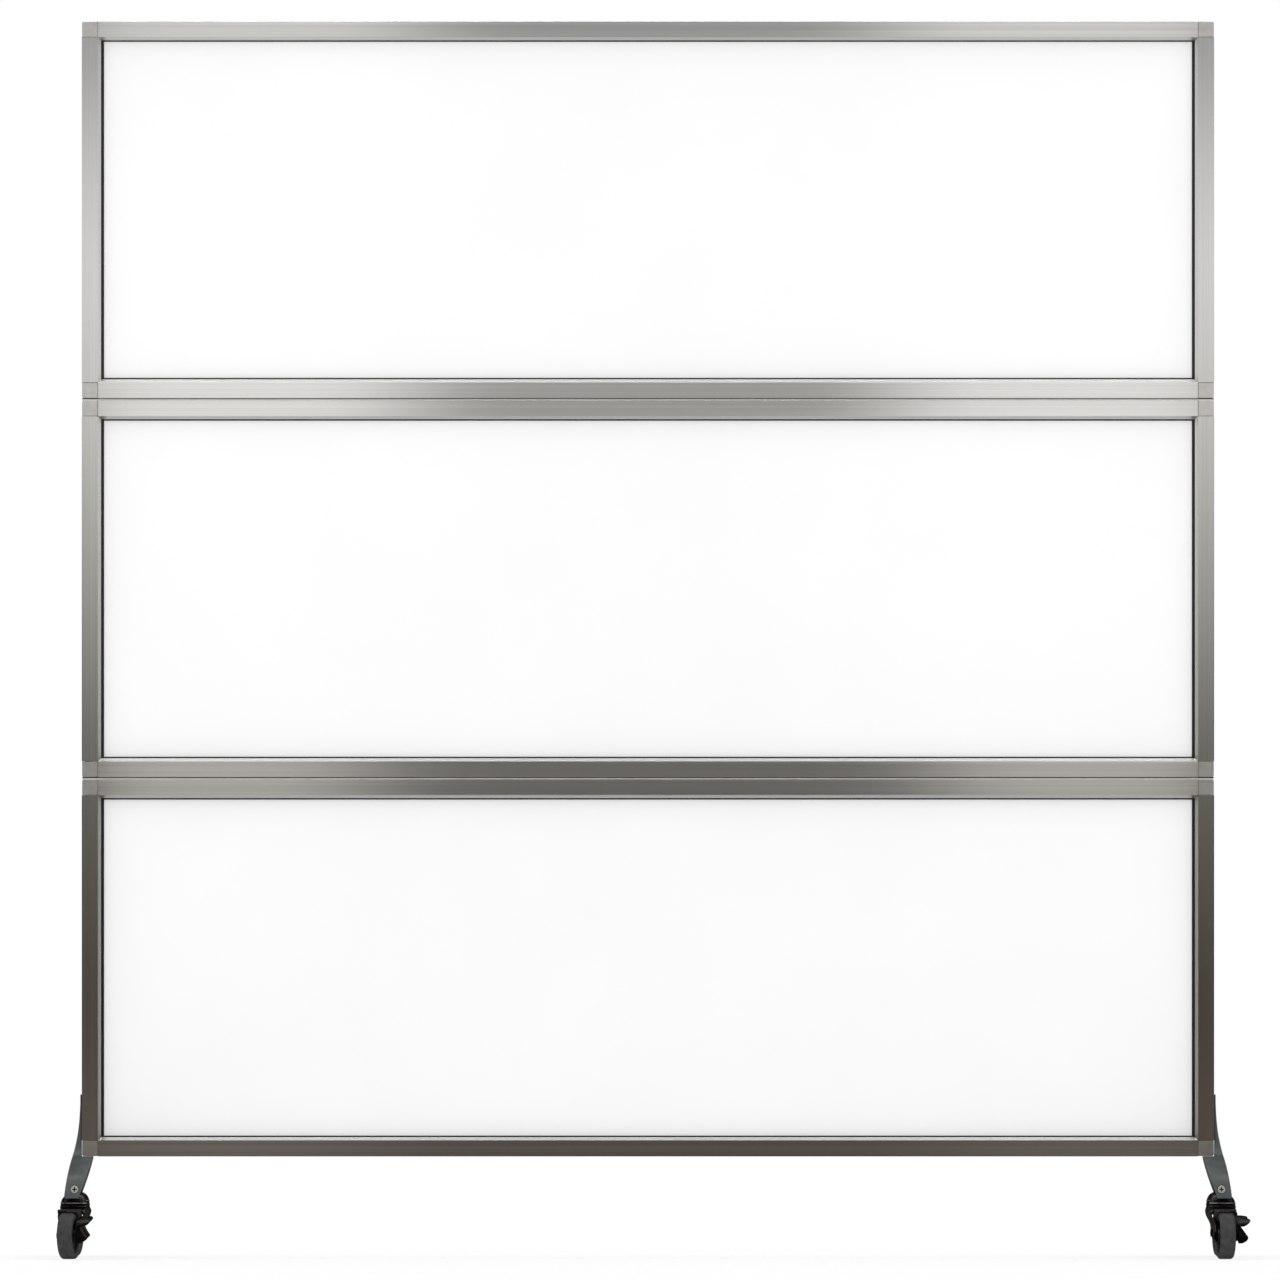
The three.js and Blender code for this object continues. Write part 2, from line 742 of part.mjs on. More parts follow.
// The brake rocker, drawn about the axle: a plate round the bolt outside the fork with two
// treads that stand out sideways, the upper to press the brake on and the lower to free it.
function brakeRocker() {
  const inner = wheelWidth / 2 + wheelSideGap + forkPlate + gap + gap;
  const plateOuter = inner + rockerPlate;
  const low = THREE.MathUtils.degToRad(rockerLow);
  const high = THREE.MathUtils.degToRad(rockerHigh);
  const sector = new THREE.Shape();
  sector.absarc(0, 0, rockerOuter, Math.PI - high, Math.PI - low, false);
  sector.absarc(0, 0, rockerInner, Math.PI - low, Math.PI - high, true);
  const upperTip = rockerOuter * Math.sin(high);
  const lowerTip = rockerOuter * Math.sin(low);
  const spread = rockerReach - inner;
  const valley = upperTip / 2;
  const treads = new THREE.Shape();
  treads.moveTo(inner, upperTip - rockerPlate * 2);
  treads.quadraticCurveTo(inner + spread / 4, upperTip + rockerPlate, inner + spread / 2, upperTip);
  treads.lineTo(rockerReach - rockerPlate, upperTip - rockerPlate / 2);
  treads.quadraticCurveTo(rockerReach, upperTip - rockerPlate, rockerReach, upperTip - rockerPlate * 2);
  treads.quadraticCurveTo(inner + spread * 2 / 3, valley, inner + spread / 5, valley);
  treads.lineTo(inner + spread * 3 / 4, lowerTip / 5);
  treads.quadraticCurveTo(inner + spread * 3 / 4, lowerTip * 3 / 4, inner + spread / 4, lowerTip);
  treads.lineTo(inner, lowerTip);
  const across = rockerOuter + overrun;
  let solid = solidOf(prism(sector, 'x', inner, rockerReach + overrun));
  solid = solid.intersect(solidOf(prism(treads, 'y', -across, across)));
  const hold = rockerInner + rockerPlate * 2;
  const web = new THREE.Shape();
  web.absarc(0, 0, hold, Math.PI - high, Math.PI - low, false);
  web.lineTo(0, 0);
  solid = solid.add(solidOf(prism(web, 'x', inner, plateOuter)));
  solid = solid.add(solidOf(rod(rockerEyeRadius, 'x', inner, plateOuter)));
  solid = solid.subtract(solidOf(rod(axleRadius + gap, 'x', inner - overrun, plateOuter + overrun)));
  return geometryOf(solid);
}

function piece(name, geometry, finish) {
  const mesh = new THREE.Mesh(geometry, new THREE.MeshStandardMaterial(finish));
  mesh.name = name;
  return mesh;
}

// One section of the screen, drawn about its own middle.
function section(level, index) {
  const group = new THREE.Group();
  const bottom = frameBottom + index * (sectionHeight + seam);
  const middle = bottom + sectionHeight / 2;
  group.position.set(0, 0, middle);
  const holes = screwPlaces().map(({ y, z }) => ({ y, z: z - middle }));
  const turned = holes.map(({ y, z }) => ({ y, z: -z }));
  const isLowest = index === 0;
  const isHighest = index === levels.length - 1;
  const sides = [
    { side: 'left_stile', run: sectionHeight, out: halfWidth, turn: 0, cuts: isLowest ? holes : [] },
    { side: 'top_rail', run: screenWidth, out: sectionHeight / 2, turn: 1, cuts: [] },
    { side: 'right_stile', run: sectionHeight, out: halfWidth, turn: 2, cuts: isLowest ? turned : [] },
    { side: 'bottom_rail', run: screenWidth, out: sectionHeight / 2, turn: 3, cuts: [] },
  ];
  sides.forEach(({ side, run, out, turn, cuts }) => {
    const bar = piece(`${level}_${side}`, extrusion(run, cuts), aluminium);
    const angle = turn * Math.PI / 2;
    bar.rotation.y = angle;
    bar.position.set(-out * Math.cos(angle), 0, out * Math.sin(angle));
    group.add(bar);
  });
  const corners = [
    { corner: 'bottom_left', x: -1, z: -1, turn: 0, joined: !isLowest },
    { corner: 'top_left', x: -1, z: 1, turn: 1, joined: !isHighest },
    { corner: 'top_right', x: 1, z: 1, turn: 2, joined: !isHighest },
    { corner: 'bottom_right', x: 1, z: -1, turn: 3, joined: !isLowest },
  ];
  corners.forEach(({ corner, x, z, turn, joined }) => {
    const dowelAlongRail = turn % 2 === 1;
    const block = piece(`${level}_${corner}_block`, blockGeometry(joined, dowelAlongRail), castMetal);
    block.rotation.y = turn * Math.PI / 2;
    block.position.set(x * halfWidth, 0, z * sectionHeight / 2);
    group.add(block);
  });
  group.add(piece(`${level}_panel`, panelSheet(), whiteSheet));
  const loop = mitredLoop(
    gasketSection(gasketShowSide), gasketSection(gasketShowRail), screenWidth, sectionHeight,
  );
  group.add(piece(`${level}_gasket`, loop, blackRubber));
  return group;
}

// A block turned by a quarter turn has its seam face on its own x side, so its dowel hole
// runs along x there.
function blockGeometry(joined, alongX) {
  const geometry = cornerBlock(joined && !alongX);
  if (!(joined && alongX)) {
    return geometry;
  }
  const hole = rod(dowelRadius + gap, 'x', -overrun, dowelLength + seam).translate(0, 0, faceWidth / 2);
  return geometryOf(cut(geometry, hole));
}

function mirrorX(geometry) {
  const flipped = geometry.clone().applyMatrix4(new THREE.Matrix4().makeScale(-1, 1, 1));
  const index = flipped.index;
  for (let i = 0; i < index.count; i += 3) {
    const second = index.getX(i + 1);
    index.setX(i + 1, index.getX(i + 2));
    index.setX(i + 2, second);
  }
  flipped.computeVertexNormals();
  return flipped;
}

function caster(place, x, y, turn) {
  const group = new THREE.Group();
  group.position.set(x, y, 0);
  group.rotation.z = turn;
  const wheelParts = new THREE.Group();
  wheelParts.position.set(0, -trail, wheelRadius);
  group.add(piece(`${place}_caster_stem`, casterTop(), blackSteel));
  group.add(piece(`${place}_fork`, fork(), blackSteel));
  wheelParts.add(piece(`${place}_tyre`, tyre(), greyRubber));
  wheelParts.add(piece(`${place}_wheel_hub`, wheelHub(), blackPlastic));
  wheelParts.add(piece(`${place}_axle_bolt`, axleBolt(), blackSteel));
  wheelParts.add(piece(`${place}_brake_rocker`, brakeRocker(), blackSteel));
  group.add(wheelParts);
  return group;
}

const divider = new THREE.Group();
levels.forEach((level, index) => divider.add(section(level, index)));

levels.slice(1).forEach((level, index) => {
  const strip = piece(`${levels[index]}_${level}_joining_strip`, joiningStrip(), blackRubber);
  const above = frameBottom + (index + 1) * (sectionHeight + seam);
  strip.position.z = above - seam / 2;
  divider.add(strip);
});

divider.add(piece('right_leg', leg(), legPaint));
divider.add(piece('left_leg', mirrorX(leg()), legPaint));
divider.add(piece('right_leg_fixing', legFixing(), zincSteel));
divider.add(piece('left_leg_fixing', mirrorX(legFixing()), zincSteel));

const rightTurn = THREE.MathUtils.degToRad(rightToe);
const leftTurn = THREE.MathUtils.degToRad(-leftToe);
divider.add(caster('front_right', stemX, -stemY, rightTurn));
divider.add(caster('front_left', -stemX, -stemY, leftTurn));
divider.add(caster('rear_right', stemX, stemY, rightTurn));
divider.add(caster('rear_left', -stemX, stemY, leftTurn));

const footprint = new THREE.Box3().setFromObject(divider);
const middle = footprint.getCenter(new THREE.Vector3());
divider.position.set(-middle.x, -middle.y, 0);

export default divider;
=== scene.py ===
import math

import bmesh
import bpy
from mathutils import Matrix, Vector


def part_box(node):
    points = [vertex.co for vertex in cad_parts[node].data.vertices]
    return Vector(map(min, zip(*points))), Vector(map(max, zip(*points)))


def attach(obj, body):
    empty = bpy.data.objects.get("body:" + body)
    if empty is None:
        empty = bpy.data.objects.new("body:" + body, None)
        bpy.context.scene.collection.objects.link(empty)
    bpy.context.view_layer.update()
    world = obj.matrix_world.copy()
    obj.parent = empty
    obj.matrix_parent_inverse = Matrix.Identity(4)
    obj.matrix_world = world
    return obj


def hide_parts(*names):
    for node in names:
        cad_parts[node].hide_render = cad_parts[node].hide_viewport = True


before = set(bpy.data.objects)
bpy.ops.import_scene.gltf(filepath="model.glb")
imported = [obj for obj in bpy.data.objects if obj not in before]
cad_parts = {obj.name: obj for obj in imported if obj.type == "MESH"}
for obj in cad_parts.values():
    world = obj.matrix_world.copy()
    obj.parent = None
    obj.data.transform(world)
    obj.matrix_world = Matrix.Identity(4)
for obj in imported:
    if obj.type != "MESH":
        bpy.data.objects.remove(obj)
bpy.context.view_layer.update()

scene = bpy.context.scene
scene.view_settings.view_transform = "Standard"
millimetre = 0.001


def middle(node):
    low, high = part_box(node)
    return (low + high) / 2


screenMiddle = middle("upper_panel")

# camera
cameraSetup = {
    "distance": 80.0,  # far away, so that the rear casters hide behind the front ones
    "pixelsPerMetre": 619.2,  # on the front faces of the frame
    "imageWidth": 1280,
    "sensorWidth": 36.0,
    "aside": -0.0129,  # from the middle of the screen
    "height": 0.9974,
    "halfFrame": 0.022,
}

cameraData = bpy.data.cameras.new("camera")
cameraData.sensor_width = cameraSetup["sensorWidth"]
cameraData.lens = (
    cameraSetup["pixelsPerMetre"]
    * cameraSetup["distance"]
    * cameraSetup["sensorWidth"]
    / cameraSetup["imageWidth"]
)
cameraData.clip_start = 1.0
cameraData.clip_end = cameraSetup["distance"] * 3
camera = bpy.data.objects.new("camera", cameraData)
camera.location = (
    screenMiddle.x + cameraSetup["aside"],
    screenMiddle.y - cameraSetup["halfFrame"] - cameraSetup["distance"],
    cameraSetup["height"],
)
camera.rotation_euler = (math.pi / 2, 0, 0)
scene.collection.objects.link(camera)
scene.camera = camera
print("camera placed")


# Colours are given as they look on a screen, 0 to 255
def screenColour(red, green, blue):
    def linear(value):
        share = value / 255
        return share / 12.92 if share <= 0.04045 else ((share + 0.055) / 1.055) ** 2.4

    return (linear(red), linear(green), linear(blue), 1.0)


def newMaterial(name):
    material = bpy.data.materials.new(name)
    material.use_nodes = True
    return material, material.node_tree.nodes, material.node_tree.links


def objectNoise(nodes, links, scale, detail, stretch=(1, 1, 1)):
    place = nodes.new("ShaderNodeTexCoord")
    mapping = nodes.new("ShaderNodeMapping")
    mapping.inputs["Scale"].default_value = stretch
    noise = nodes.new("ShaderNodeTexNoise")
    noise.inputs["Scale"].default_value = scale
    noise.inputs["Detail"].default_value = detail
    links.new(place.outputs["Object"], mapping.inputs["Vector"])
    links.new(mapping.outputs["Vector"], noise.inputs["Vector"])
    return noise.outputs["Fac"]


noiseRange = (0.3, 0.7)  # holds nearly all the values of a noise texture


def spread(nodes, links, value, low, high):
    stretch = nodes.new("ShaderNodeMapRange")
    stretch.inputs["From Min"].default_value = noiseRange[0]
    stretch.inputs["From Max"].default_value = noiseRange[1]
    stretch.inputs["To Min"].default_value = low
    stretch.inputs["To Max"].default_value = high
    links.new(value, stretch.inputs["Value"])
    return stretch.outputs["Result"]


def computed(nodes, links, operation, *values):
    step = nodes.new("ShaderNodeMath")
    step.operation = operation
    for i, value in enumerate(values):
        links.new(value, step.inputs[i])
    return step.outputs["Value"]


def tinted(nodes, links, value, first, second):
    mix = nodes.new("ShaderNodeMix")
    mix.data_type = "RGBA"
    mix.inputs["A"].default_value = first
    mix.inputs["B"].default_value = second
    links.new(value, mix.inputs["Factor"])
    return mix.outputs["Result"]


def bumped(nodes, links, value, distance, strength):
    bump = nodes.new("ShaderNodeBump")
    bump.inputs["Distance"].default_value = distance
    bump.inputs["Strength"].default_value = strength
    links.new(value, bump.inputs["Height"])
    return bump.outputs["Normal"]


# materials
metalLook = {
    "light": (236, 236, 235),
    "dark": (212, 210, 207),
    "anisotropy": 0.95,
    "glossTurn": 0.25,
    "streakWidth": 700,
    "streakLength": 1.1,
    "streakDetail": 4.0,
    "streakDepth": 0.00002,
    "streakStrength": 0.5,
    "streakShare": 0.4,  # of the colour, the bands make the rest
    "bandWidth": 240,
    "bandDetail": 2.0,
    "uprightRoughness": (0.4, 0.48),
    "railRoughness": (0.31, 0.37),
}


def brushedAluminium(name, along, roughness):
    # streaks run along the length that the bar was drawn in, and gloss spreads across them
    material, nodes, links = newMaterial(name)
    shader = nodes["Principled BSDF"]
    stretch = [metalLook["streakWidth"]] * 3
    stretch["xyz".index(along)] = metalLook["streakLength"]
    streaks = objectNoise(nodes, links, 1.0, metalLook["streakDetail"], stretch)
    wide = [metalLook["bandWidth"]] * 3
    wide["xyz".index(along)] = metalLook["streakLength"] / 2
    bands = objectNoise(nodes, links, 1.0, metalLook["bandDetail"], wide)
    share = metalLook["streakShare"]
    streakTone = spread(nodes, links, streaks, 0, share)
    bandTone = spread(nodes, links, bands, 0, 1 - share)
    links.new(
        tinted(
            nodes, links, computed(nodes, links, "ADD", streakTone, bandTone),
            screenColour(*metalLook["dark"]), screenColour(*metalLook["light"]),
        ),
        shader.inputs["Base Color"],
    )
    links.new(spread(nodes, links, bands, *roughness), shader.inputs["Roughness"])
    links.new(
        bumped(nodes, links, streaks, metalLook["streakDepth"], metalLook["streakStrength"]),
        shader.inputs["Normal"],
    )
    tangent = nodes.new("ShaderNodeCombineXYZ")
    tangent.inputs[along.upper()].default_value = 1.0
    links.new(tangent.outputs["Vector"], shader.inputs["Tangent"])
    shader.inputs["Anisotropic"].default_value = metalLook["anisotropy"]
    shader.inputs["Anisotropic Rotation"].default_value = metalLook["glossTurn"]
    shader.inputs["Metallic"].default_value = 1.0
    return material


finishSetup = {"cloudDetail": 3.0, "grainDetail": 2.0, "grainStrength": 0.6, "coatRoughness": 0.08}


def finish(name, look):
    # a fine-grained finish: two close colours, a range of roughness and a slight texture
    material, nodes, links = newMaterial(name)
    shader = nodes["Principled BSDF"]
    cloud = objectNoise(nodes, links, look["cloud"], finishSetup["cloudDetail"])
    grain = objectNoise(nodes, links, look["grain"], finishSetup["grainDetail"])
    links.new(
        tinted(
            nodes, links, spread(nodes, links, cloud, 0, 1),
            screenColour(*look["dark"]), screenColour(*look["light"]),
        ),
        shader.inputs["Base Color"],
    )
    links.new(spread(nodes, links, grain, *look["roughness"]), shader.inputs["Roughness"])
    links.new(
        bumped(nodes, links, grain, look["depth"], finishSetup["grainStrength"]), shader.inputs["Normal"]
    )
    shader.inputs["Metallic"].default_value = look.get("metal", 0.0)
    shader.inputs["Coat Weight"].default_value = look.get("coat", 0.0)
    shader.inputs["Coat Roughness"].default_value = finishSetup["coatRoughness"]
    shader.inputs["Specular IOR Level"].default_value = look.get("specular", 0.5)
    return material


finishLooks = {
    "castMetal": {
        "light": (214, 211, 208), "dark": (202, 199, 195), "cloud": 90, "grain": 1400,
        "roughness": (0.5, 0.62), "depth": 0.00004, "metal": 0.88,
    },
    # the aluminium of the rails' top edge made pale and mostly matt, as a painted highlight
    "edgeMetal": {
        "light": (232, 231, 228), "dark": (216, 214, 210), "cloud": 60, "grain": 1400,
        "roughness": (0.4, 0.5), "depth": 0.00002, "metal": 0.3,
    },
    "whiteSheet": {
        "light": (251, 251, 251), "dark": (249, 249, 249), "cloud": 5, "grain": 500,
        "roughness": (0.4, 0.5), "depth": 0.000008,
    },
    "blackRubber": {
        "light": (34, 31, 29), "dark": (22, 20, 19), "cloud": 90, "grain": 1500,
        "roughness": (0.55, 0.7), "depth": 0.00003,
    },
    "seamRubber": {
        "light": (62, 53, 51), "dark": (46, 39, 37), "cloud": 90, "grain": 1500,
        "roughness": (0.55, 0.7), "depth": 0.00003,
    },
    "legPaint": {
        "light": (87, 93, 94), "dark": (71, 77, 78), "cloud": 45, "grain": 900,
        "roughness": (0.44, 0.56), "depth": 0.00005,
    },
    "blackEnamel": {
        "light": (9, 9, 9), "dark": (4, 4, 4), "cloud": 80, "grain": 500,
        "roughness": (0.16, 0.26), "depth": 0.00002, "coat": 0.08, "specular": 0.2,
    },
    "blackSteel": {
        "light": (24, 24, 24), "dark": (12, 12, 12), "cloud": 200, "grain": 900,
        "roughness": (0.26, 0.38), "depth": 0.00003, "metal": 0.5,
    },
    "zincSteel": {
        "light": (206, 203, 188), "dark": (178, 174, 160), "cloud": 300, "grain": 1500,
        "roughness": (0.4, 0.5), "depth": 0.00002, "metal": 0.35,
    },
    # bright patches among dark ones: painted glints on the race ring, partly worn plating
    "wornSteel": {
        "light": (200, 200, 198), "dark": (30, 30, 30), "cloud": 130, "grain": 1200,
        "roughness": (0.25, 0.4), "depth": 0.00002, "metal": 0.6,
    },
    # paler than the fork's black enamel, as a painted highlight along the hood's front edge
    "hoodEnamel": {
        "light": (58, 58, 58), "dark": (38, 38, 38), "cloud": 120, "grain": 900,
        "roughness": (0.4, 0.55), "depth": 0.00002, "specular": 0.2,
    },
    "tyreRubber": {
        "light": (68, 68, 68), "dark": (53, 53, 53), "cloud": 120, "grain": 1300,
        "roughness": (0.6, 0.78), "depth": 0.00006,
    },
    "hubPlastic": {
        "light": (40, 40, 40), "dark": (27, 27, 27), "cloud": 100, "grain": 1100,
        "roughness": (0.38, 0.5), "depth": 0.00003,
    },
}
finishes = {name: finish(name, look) for name, look in finishLooks.items()}
finishes["uprightMetal"] = brushedAluminium("uprightMetal", "z", metalLook["uprightRoughness"])
finishes["railMetal"] = brushedAluminium("railMetal", "x", metalLook["railRoughness"])

nodeFinishes = {
    "_stile": "uprightMetal",
    "_rail": "railMetal",
    "_block": "castMetal",
    "_panel": "whiteSheet",
    "_gasket": "blackRubber",
    "_joining_strip": "seamRubber",
    "_leg": "legPaint",
    "_leg_fixing": "zincSteel",
    "_caster_stem": "blackSteel",
    "_fork": "blackEnamel",
    "_axle_bolt": "blackSteel",
    "_tyre": "tyreRubber",
    "_wheel_hub": "hubPlastic",
    "_brake_rocker": "blackEnamel",
}
for name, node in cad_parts.items():
    ending = next(end for end in nodeFinishes if name.endswith(end))
    node.data.materials.clear()
    node.data.materials.append(finishes[nodeFinishes[ending]])
print("materials on", len(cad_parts), "nodes")


# mesh helpers
def cleaned(shape):
    bmesh.ops.remove_doubles(shape, verts=shape.verts, dist=1e-6)
    bmesh.ops.recalc_face_normals(shape, faces=shape.faces)
    return shape


def spun(profile, steps, axis="z"):
    # profile is (radius, place) in millimetres, spun about z or laid down along x
    shape = bmesh.new()
    corners = [shape.verts.new((radius * millimetre, 0, place * millimetre)) for radius, place in profile]
    edges = [shape.edges.new(pair) for pair in zip(corners, corners[1:])]
    bmesh.ops.spin(
        shape, geom=corners + edges, cent=(0, 0, 0), axis=(0, 0, 1), angle=math.tau,
        steps=steps, use_merge=True,
    )
    cleaned(shape)
    if axis == "x":
        bmesh.ops.rotate(
            shape, verts=shape.verts, cent=(0, 0, 0), matrix=Matrix.Rotation(math.pi / 2, 3, "Y")
        )
    return shape


def arc(radius, place, size, start, end, steps):
    # points of an arc about (radius, place), in degrees from the outward direction
    turns = [math.radians(start + (end - start) * i / steps) for i in range(steps + 1)]
    return [(radius + size * math.cos(t), place + size * math.sin(t)) for t in turns]


def outlined(points, axis, low, high):
    # a prism in millimetres over an outline in the plane across the axis
    shape = bmesh.new()
    order = {
        "x": lambda a, b: (low, a, b),
        "y": lambda a, b: (a, low, b),
        "z": lambda a, b: (a, b, low),
    }
    corners = [shape.verts.new(Vector(order[axis](a, b)) * millimetre) for a, b in points]
    face = shape.faces.new(corners)
    grown = bmesh.ops.extrude_face_region(shape, geom=[face])
    moved = [v for v in grown["geom"] if isinstance(v, bmesh.types.BMVert)]
    shift = Vector([(high - low) * millimetre if name == axis else 0 for name in "xyz"])
    bmesh.ops.translate(shape, verts=moved, vec=shift)
    return cleaned(shape)


def softened(shape, size, angle=35, segments=2, clamped=True):
    limit = math.radians(angle)
    sharp = [e for e in shape.edges if len(e.link_faces) == 2 and e.calc_face_angle() > limit]
    bmesh.ops.bevel(
        shape, geom=sharp, offset=size * millimetre, offset_type="OFFSET", affect="EDGES",
        segments=segments, profile=0.5, material=-1, clamp_overlap=clamped,
    )
    return cleaned(shape)


def joined(*shapes):
    whole = bmesh.new()
    for shape in shapes:
        part = bpy.data.meshes.new("part")
        shape.to_mesh(part)
        whole.from_mesh(part)
        bpy.data.meshes.remove(part)
    return whole


def placed(shape, matrix):
    copy = shape.copy()
    bmesh.ops.transform(copy, matrix=matrix, verts=copy.verts)
    return copy


def addPiece(name, shape, material, body, replaced=(), crease=38):
    mesh = bpy.data.meshes.new(name)
    shape.to_mesh(mesh)
    for face in mesh.polygons:
        face.use_smooth = True
    mesh.set_sharp_from_angle(angle=math.radians(crease))
    mesh.materials.append(finishes[material])
    piece = bpy.data.objects.new(name, mesh)
    scene.collection.objects.link(piece)
    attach(piece, body)
    if replaced:
        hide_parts(*replaced)
    return piece


def combined(first, second, operation):
    # two closed shapes made one by the Boolean modifier
    meshes = []
    for label, shape in (("first", first), ("second", second)):
        mesh = bpy.data.meshes.new(label)
        shape.to_mesh(mesh)
        meshes.append(bpy.data.objects.new(label, mesh))
        scene.collection.objects.link(meshes[-1])
    modifier = meshes[0].modifiers.new("cut", "BOOLEAN")
    modifier.operation = operation
    modifier.solver = "EXACT"
    modifier.object = meshes[1]
    bpy.context.view_layer.update()
    result = bmesh.new()
    result.from_object(meshes[0], bpy.context.evaluated_depsgraph_get())
    for helper in meshes:
        bpy.data.objects.remove(helper)
    return cleaned(result)


# casters
wheelSizes = {
    "radius": 38.1, "half": 12.7, "shoulder": 5.1, "treadHalf": 6.4, "bore": 28.0, "boreHalf": 11.5,
    "sideWall": [(29.0, 11.9), (31.2, 12.1), (31.8, 12.5)], "steps": 96,
}
tyreProfile = [(wheelSizes["bore"], -wheelSizes["boreHalf"]), (wheelSizes["bore"], wheelSizes["boreHalf"])]
tyreProfile += wheelSizes["sideWall"]
tyreProfile += arc(
    wheelSizes["radius"] - wheelSizes["shoulder"] - 0.1, wheelSizes["half"] - wheelSizes["shoulder"],
    wheelSizes["shoulder"], 82, 8, 10,
)
tyreProfile += [
    (wheelSizes["radius"], wheelSizes["treadHalf"]), (wheelSizes["radius"], wheelSizes["treadHalf"] - 3.4),
]
tyreProfile += [(radius, -place) for radius, place in reversed(tyreProfile)]
tyreShape = spun(tyreProfile, wheelSizes["steps"], "x")

hubSizes = {
    "out": 27.7, "face": 11.1, "lip": 25.4, "dish": 24.2, "dishBottom": 5.2, "dishRound": 2.4,
    "web": 3.2, "webOut": 17.0, "webIn": 13.5, "webRound": 3.0,
    "nave": [(9.9, 12.0), (9.5, 12.6), (8.9, 13.8), (6.4, 13.8), (4.3, 13.4)],
}
hubHalf = [
    (hubSizes["out"], hubSizes["face"] - 0.3), (hubSizes["out"] - 0.3, hubSizes["face"]),
    (hubSizes["lip"], hubSizes["face"]), (hubSizes["lip"] - 0.5, hubSizes["face"] - 0.4),
    (hubSizes["dish"], hubSizes["dishBottom"]),
]
hubHalf += arc(
    hubSizes["dish"] - 2.6, hubSizes["web"] + hubSizes["dishRound"], hubSizes["dishRound"], 0, -90, 5
)
hubHalf += [(hubSizes["webOut"], hubSizes["web"]), (hubSizes["webIn"], hubSizes["web"])]
hubHalf += arc(
    hubSizes["webIn"] - 0.3, hubSizes["web"] + hubSizes["webRound"], hubSizes["webRound"], -90, -180, 5
)
hubHalf += hubSizes["nave"]
hubProfile = hubHalf + [(radius, -place) for radius, place in reversed(hubHalf)]
hubShape = spun(hubProfile + hubProfile[:1], wheelSizes["steps"], "x")

# the fork's crown, a domed housing over the races
crownSizes = {
    "radius": 22.3, "bottom": 77.5, "inner": 19.9, "innerTop": 83.6, "bead": 83.8, "beadRound": 1.4,
    "waist": 0.9, "domeBottom": 86.0, "dome": 17.5, "shoulder": 8.0,
    "bore": 6.3, "roof": 95.5, "roofOut": 11.9, "top": 103.5, "steps": 72,
}


def domeRadius(z):
    rise = (z - crownSizes["domeBottom"]) / crownSizes["dome"]
    reach = crownSizes["radius"] - crownSizes["waist"] - crownSizes["shoulder"]
    return crownSizes["shoulder"] + reach * math.sqrt(max(0, 1 - rise * rise))


crownProfile = [
    (crownSizes["bore"], crownSizes["roof"]), (crownSizes["roofOut"], crownSizes["roof"]),
    (crownSizes["inner"], crownSizes["innerTop"]), (crownSizes["inner"], crownSizes["bottom"] + 0.3),
    (crownSizes["inner"] + 0.3, crownSizes["bottom"]), (crownSizes["radius"] - 0.3, crownSizes["bottom"]),
    (crownSizes["radius"], crownSizes["bottom"] + 0.4),
    (crownSizes["radius"] - 0.7, crownSizes["bead"] - 1.6),
]
crownProfile += arc(
    crownSizes["radius"] - crownSizes["beadRound"], crownSizes["bead"], crownSizes["beadRound"], -60, 60, 6
)
crownProfile += [(crownSizes["radius"] - crownSizes["waist"], crownSizes["domeBottom"] - 0.5)]
for turn in range(0, 91, 6):
    domeHeight = crownSizes["domeBottom"] + crownSizes["dome"] * math.sin(math.radians(turn))
    crownProfile.append((domeRadius(domeHeight), domeHeight))
crownProfile += [
    (crownSizes["bore"] + 0.5, crownSizes["top"]), (crownSizes["bore"], crownSizes["top"] - 0.5),
    (crownSizes["bore"], crownSizes["roof"]),
]
crownShape = spun(crownProfile, crownSizes["steps"])

# a pale ring round the dome stands in for the glints of the races, as painted highlight
ringSizes = {"height": 90.1, "half": 1.0, "out": 0.9, "sunk": 0.5}
ringBase = domeRadius(ringSizes["height"]) - ringSizes["sunk"]
ringShape = spun([
    (ringBase, ringSizes["height"] - ringSizes["half"]),
    (ringBase + ringSizes["out"] + 0.5, ringSizes["height"] - ringSizes["half"] / 2),
    (ringBase + ringSizes["out"] + 0.3, ringSizes["height"] + ringSizes["half"] / 3),
    (ringBase - 0.4, ringSizes["height"] + ringSizes["half"]),
    (ringBase, ringSizes["height"] - ringSizes["half"]),
], crownSizes["steps"])

hoodSizes = {
    "half": 14.1, "reach": 48.0, "bottom": 77.5, "plate": 2.6, "skirt": 2.2, "low": 67.0, "cut": 9.0,
    "round": 1.0, "steps": 48,
}


def hood():
    # a pressed cap with turned-down sides, which stands out from the foot of the crown over the wheel
    sizes = hoodSizes
    inner, outer = sizes["half"], sizes["half"] + sizes["skirt"]
    top = sizes["bottom"] + sizes["plate"]
    section = [(outer, sizes["low"]), (outer, top), (-outer, top), (-outer, sizes["low"])]
    section += [(-inner, sizes["low"]), (-inner, sizes["bottom"])]
    section += [(inner, sizes["bottom"]), (inner, sizes["low"])]
    cap = softened(outlined(section, "y", -sizes["reach"], 0), sizes["round"], angle=60, segments=3)
    front = [
        (0, sizes["low"] - 1), (-sizes["reach"] + sizes["cut"] * 2, sizes["low"] - 1),
        (-sizes["reach"] - 1, sizes["bottom"] - 1.5), (-sizes["reach"] - 1, top + 1), (0, top + 1),
    ]
    cap = combined(cap, outlined(front, "x", -outer - 1, outer + 1), "INTERSECT")
    low, high = sizes["low"] - 7, sizes["bottom"] + 12.5
    inside = spun(
        [(0, low), (crownSizes["inner"], low), (crownSizes["inner"], high), (0, high)], sizes["steps"]
    )
    return combined(cap, inside, "DIFFERENCE")


hoodShape = hood()

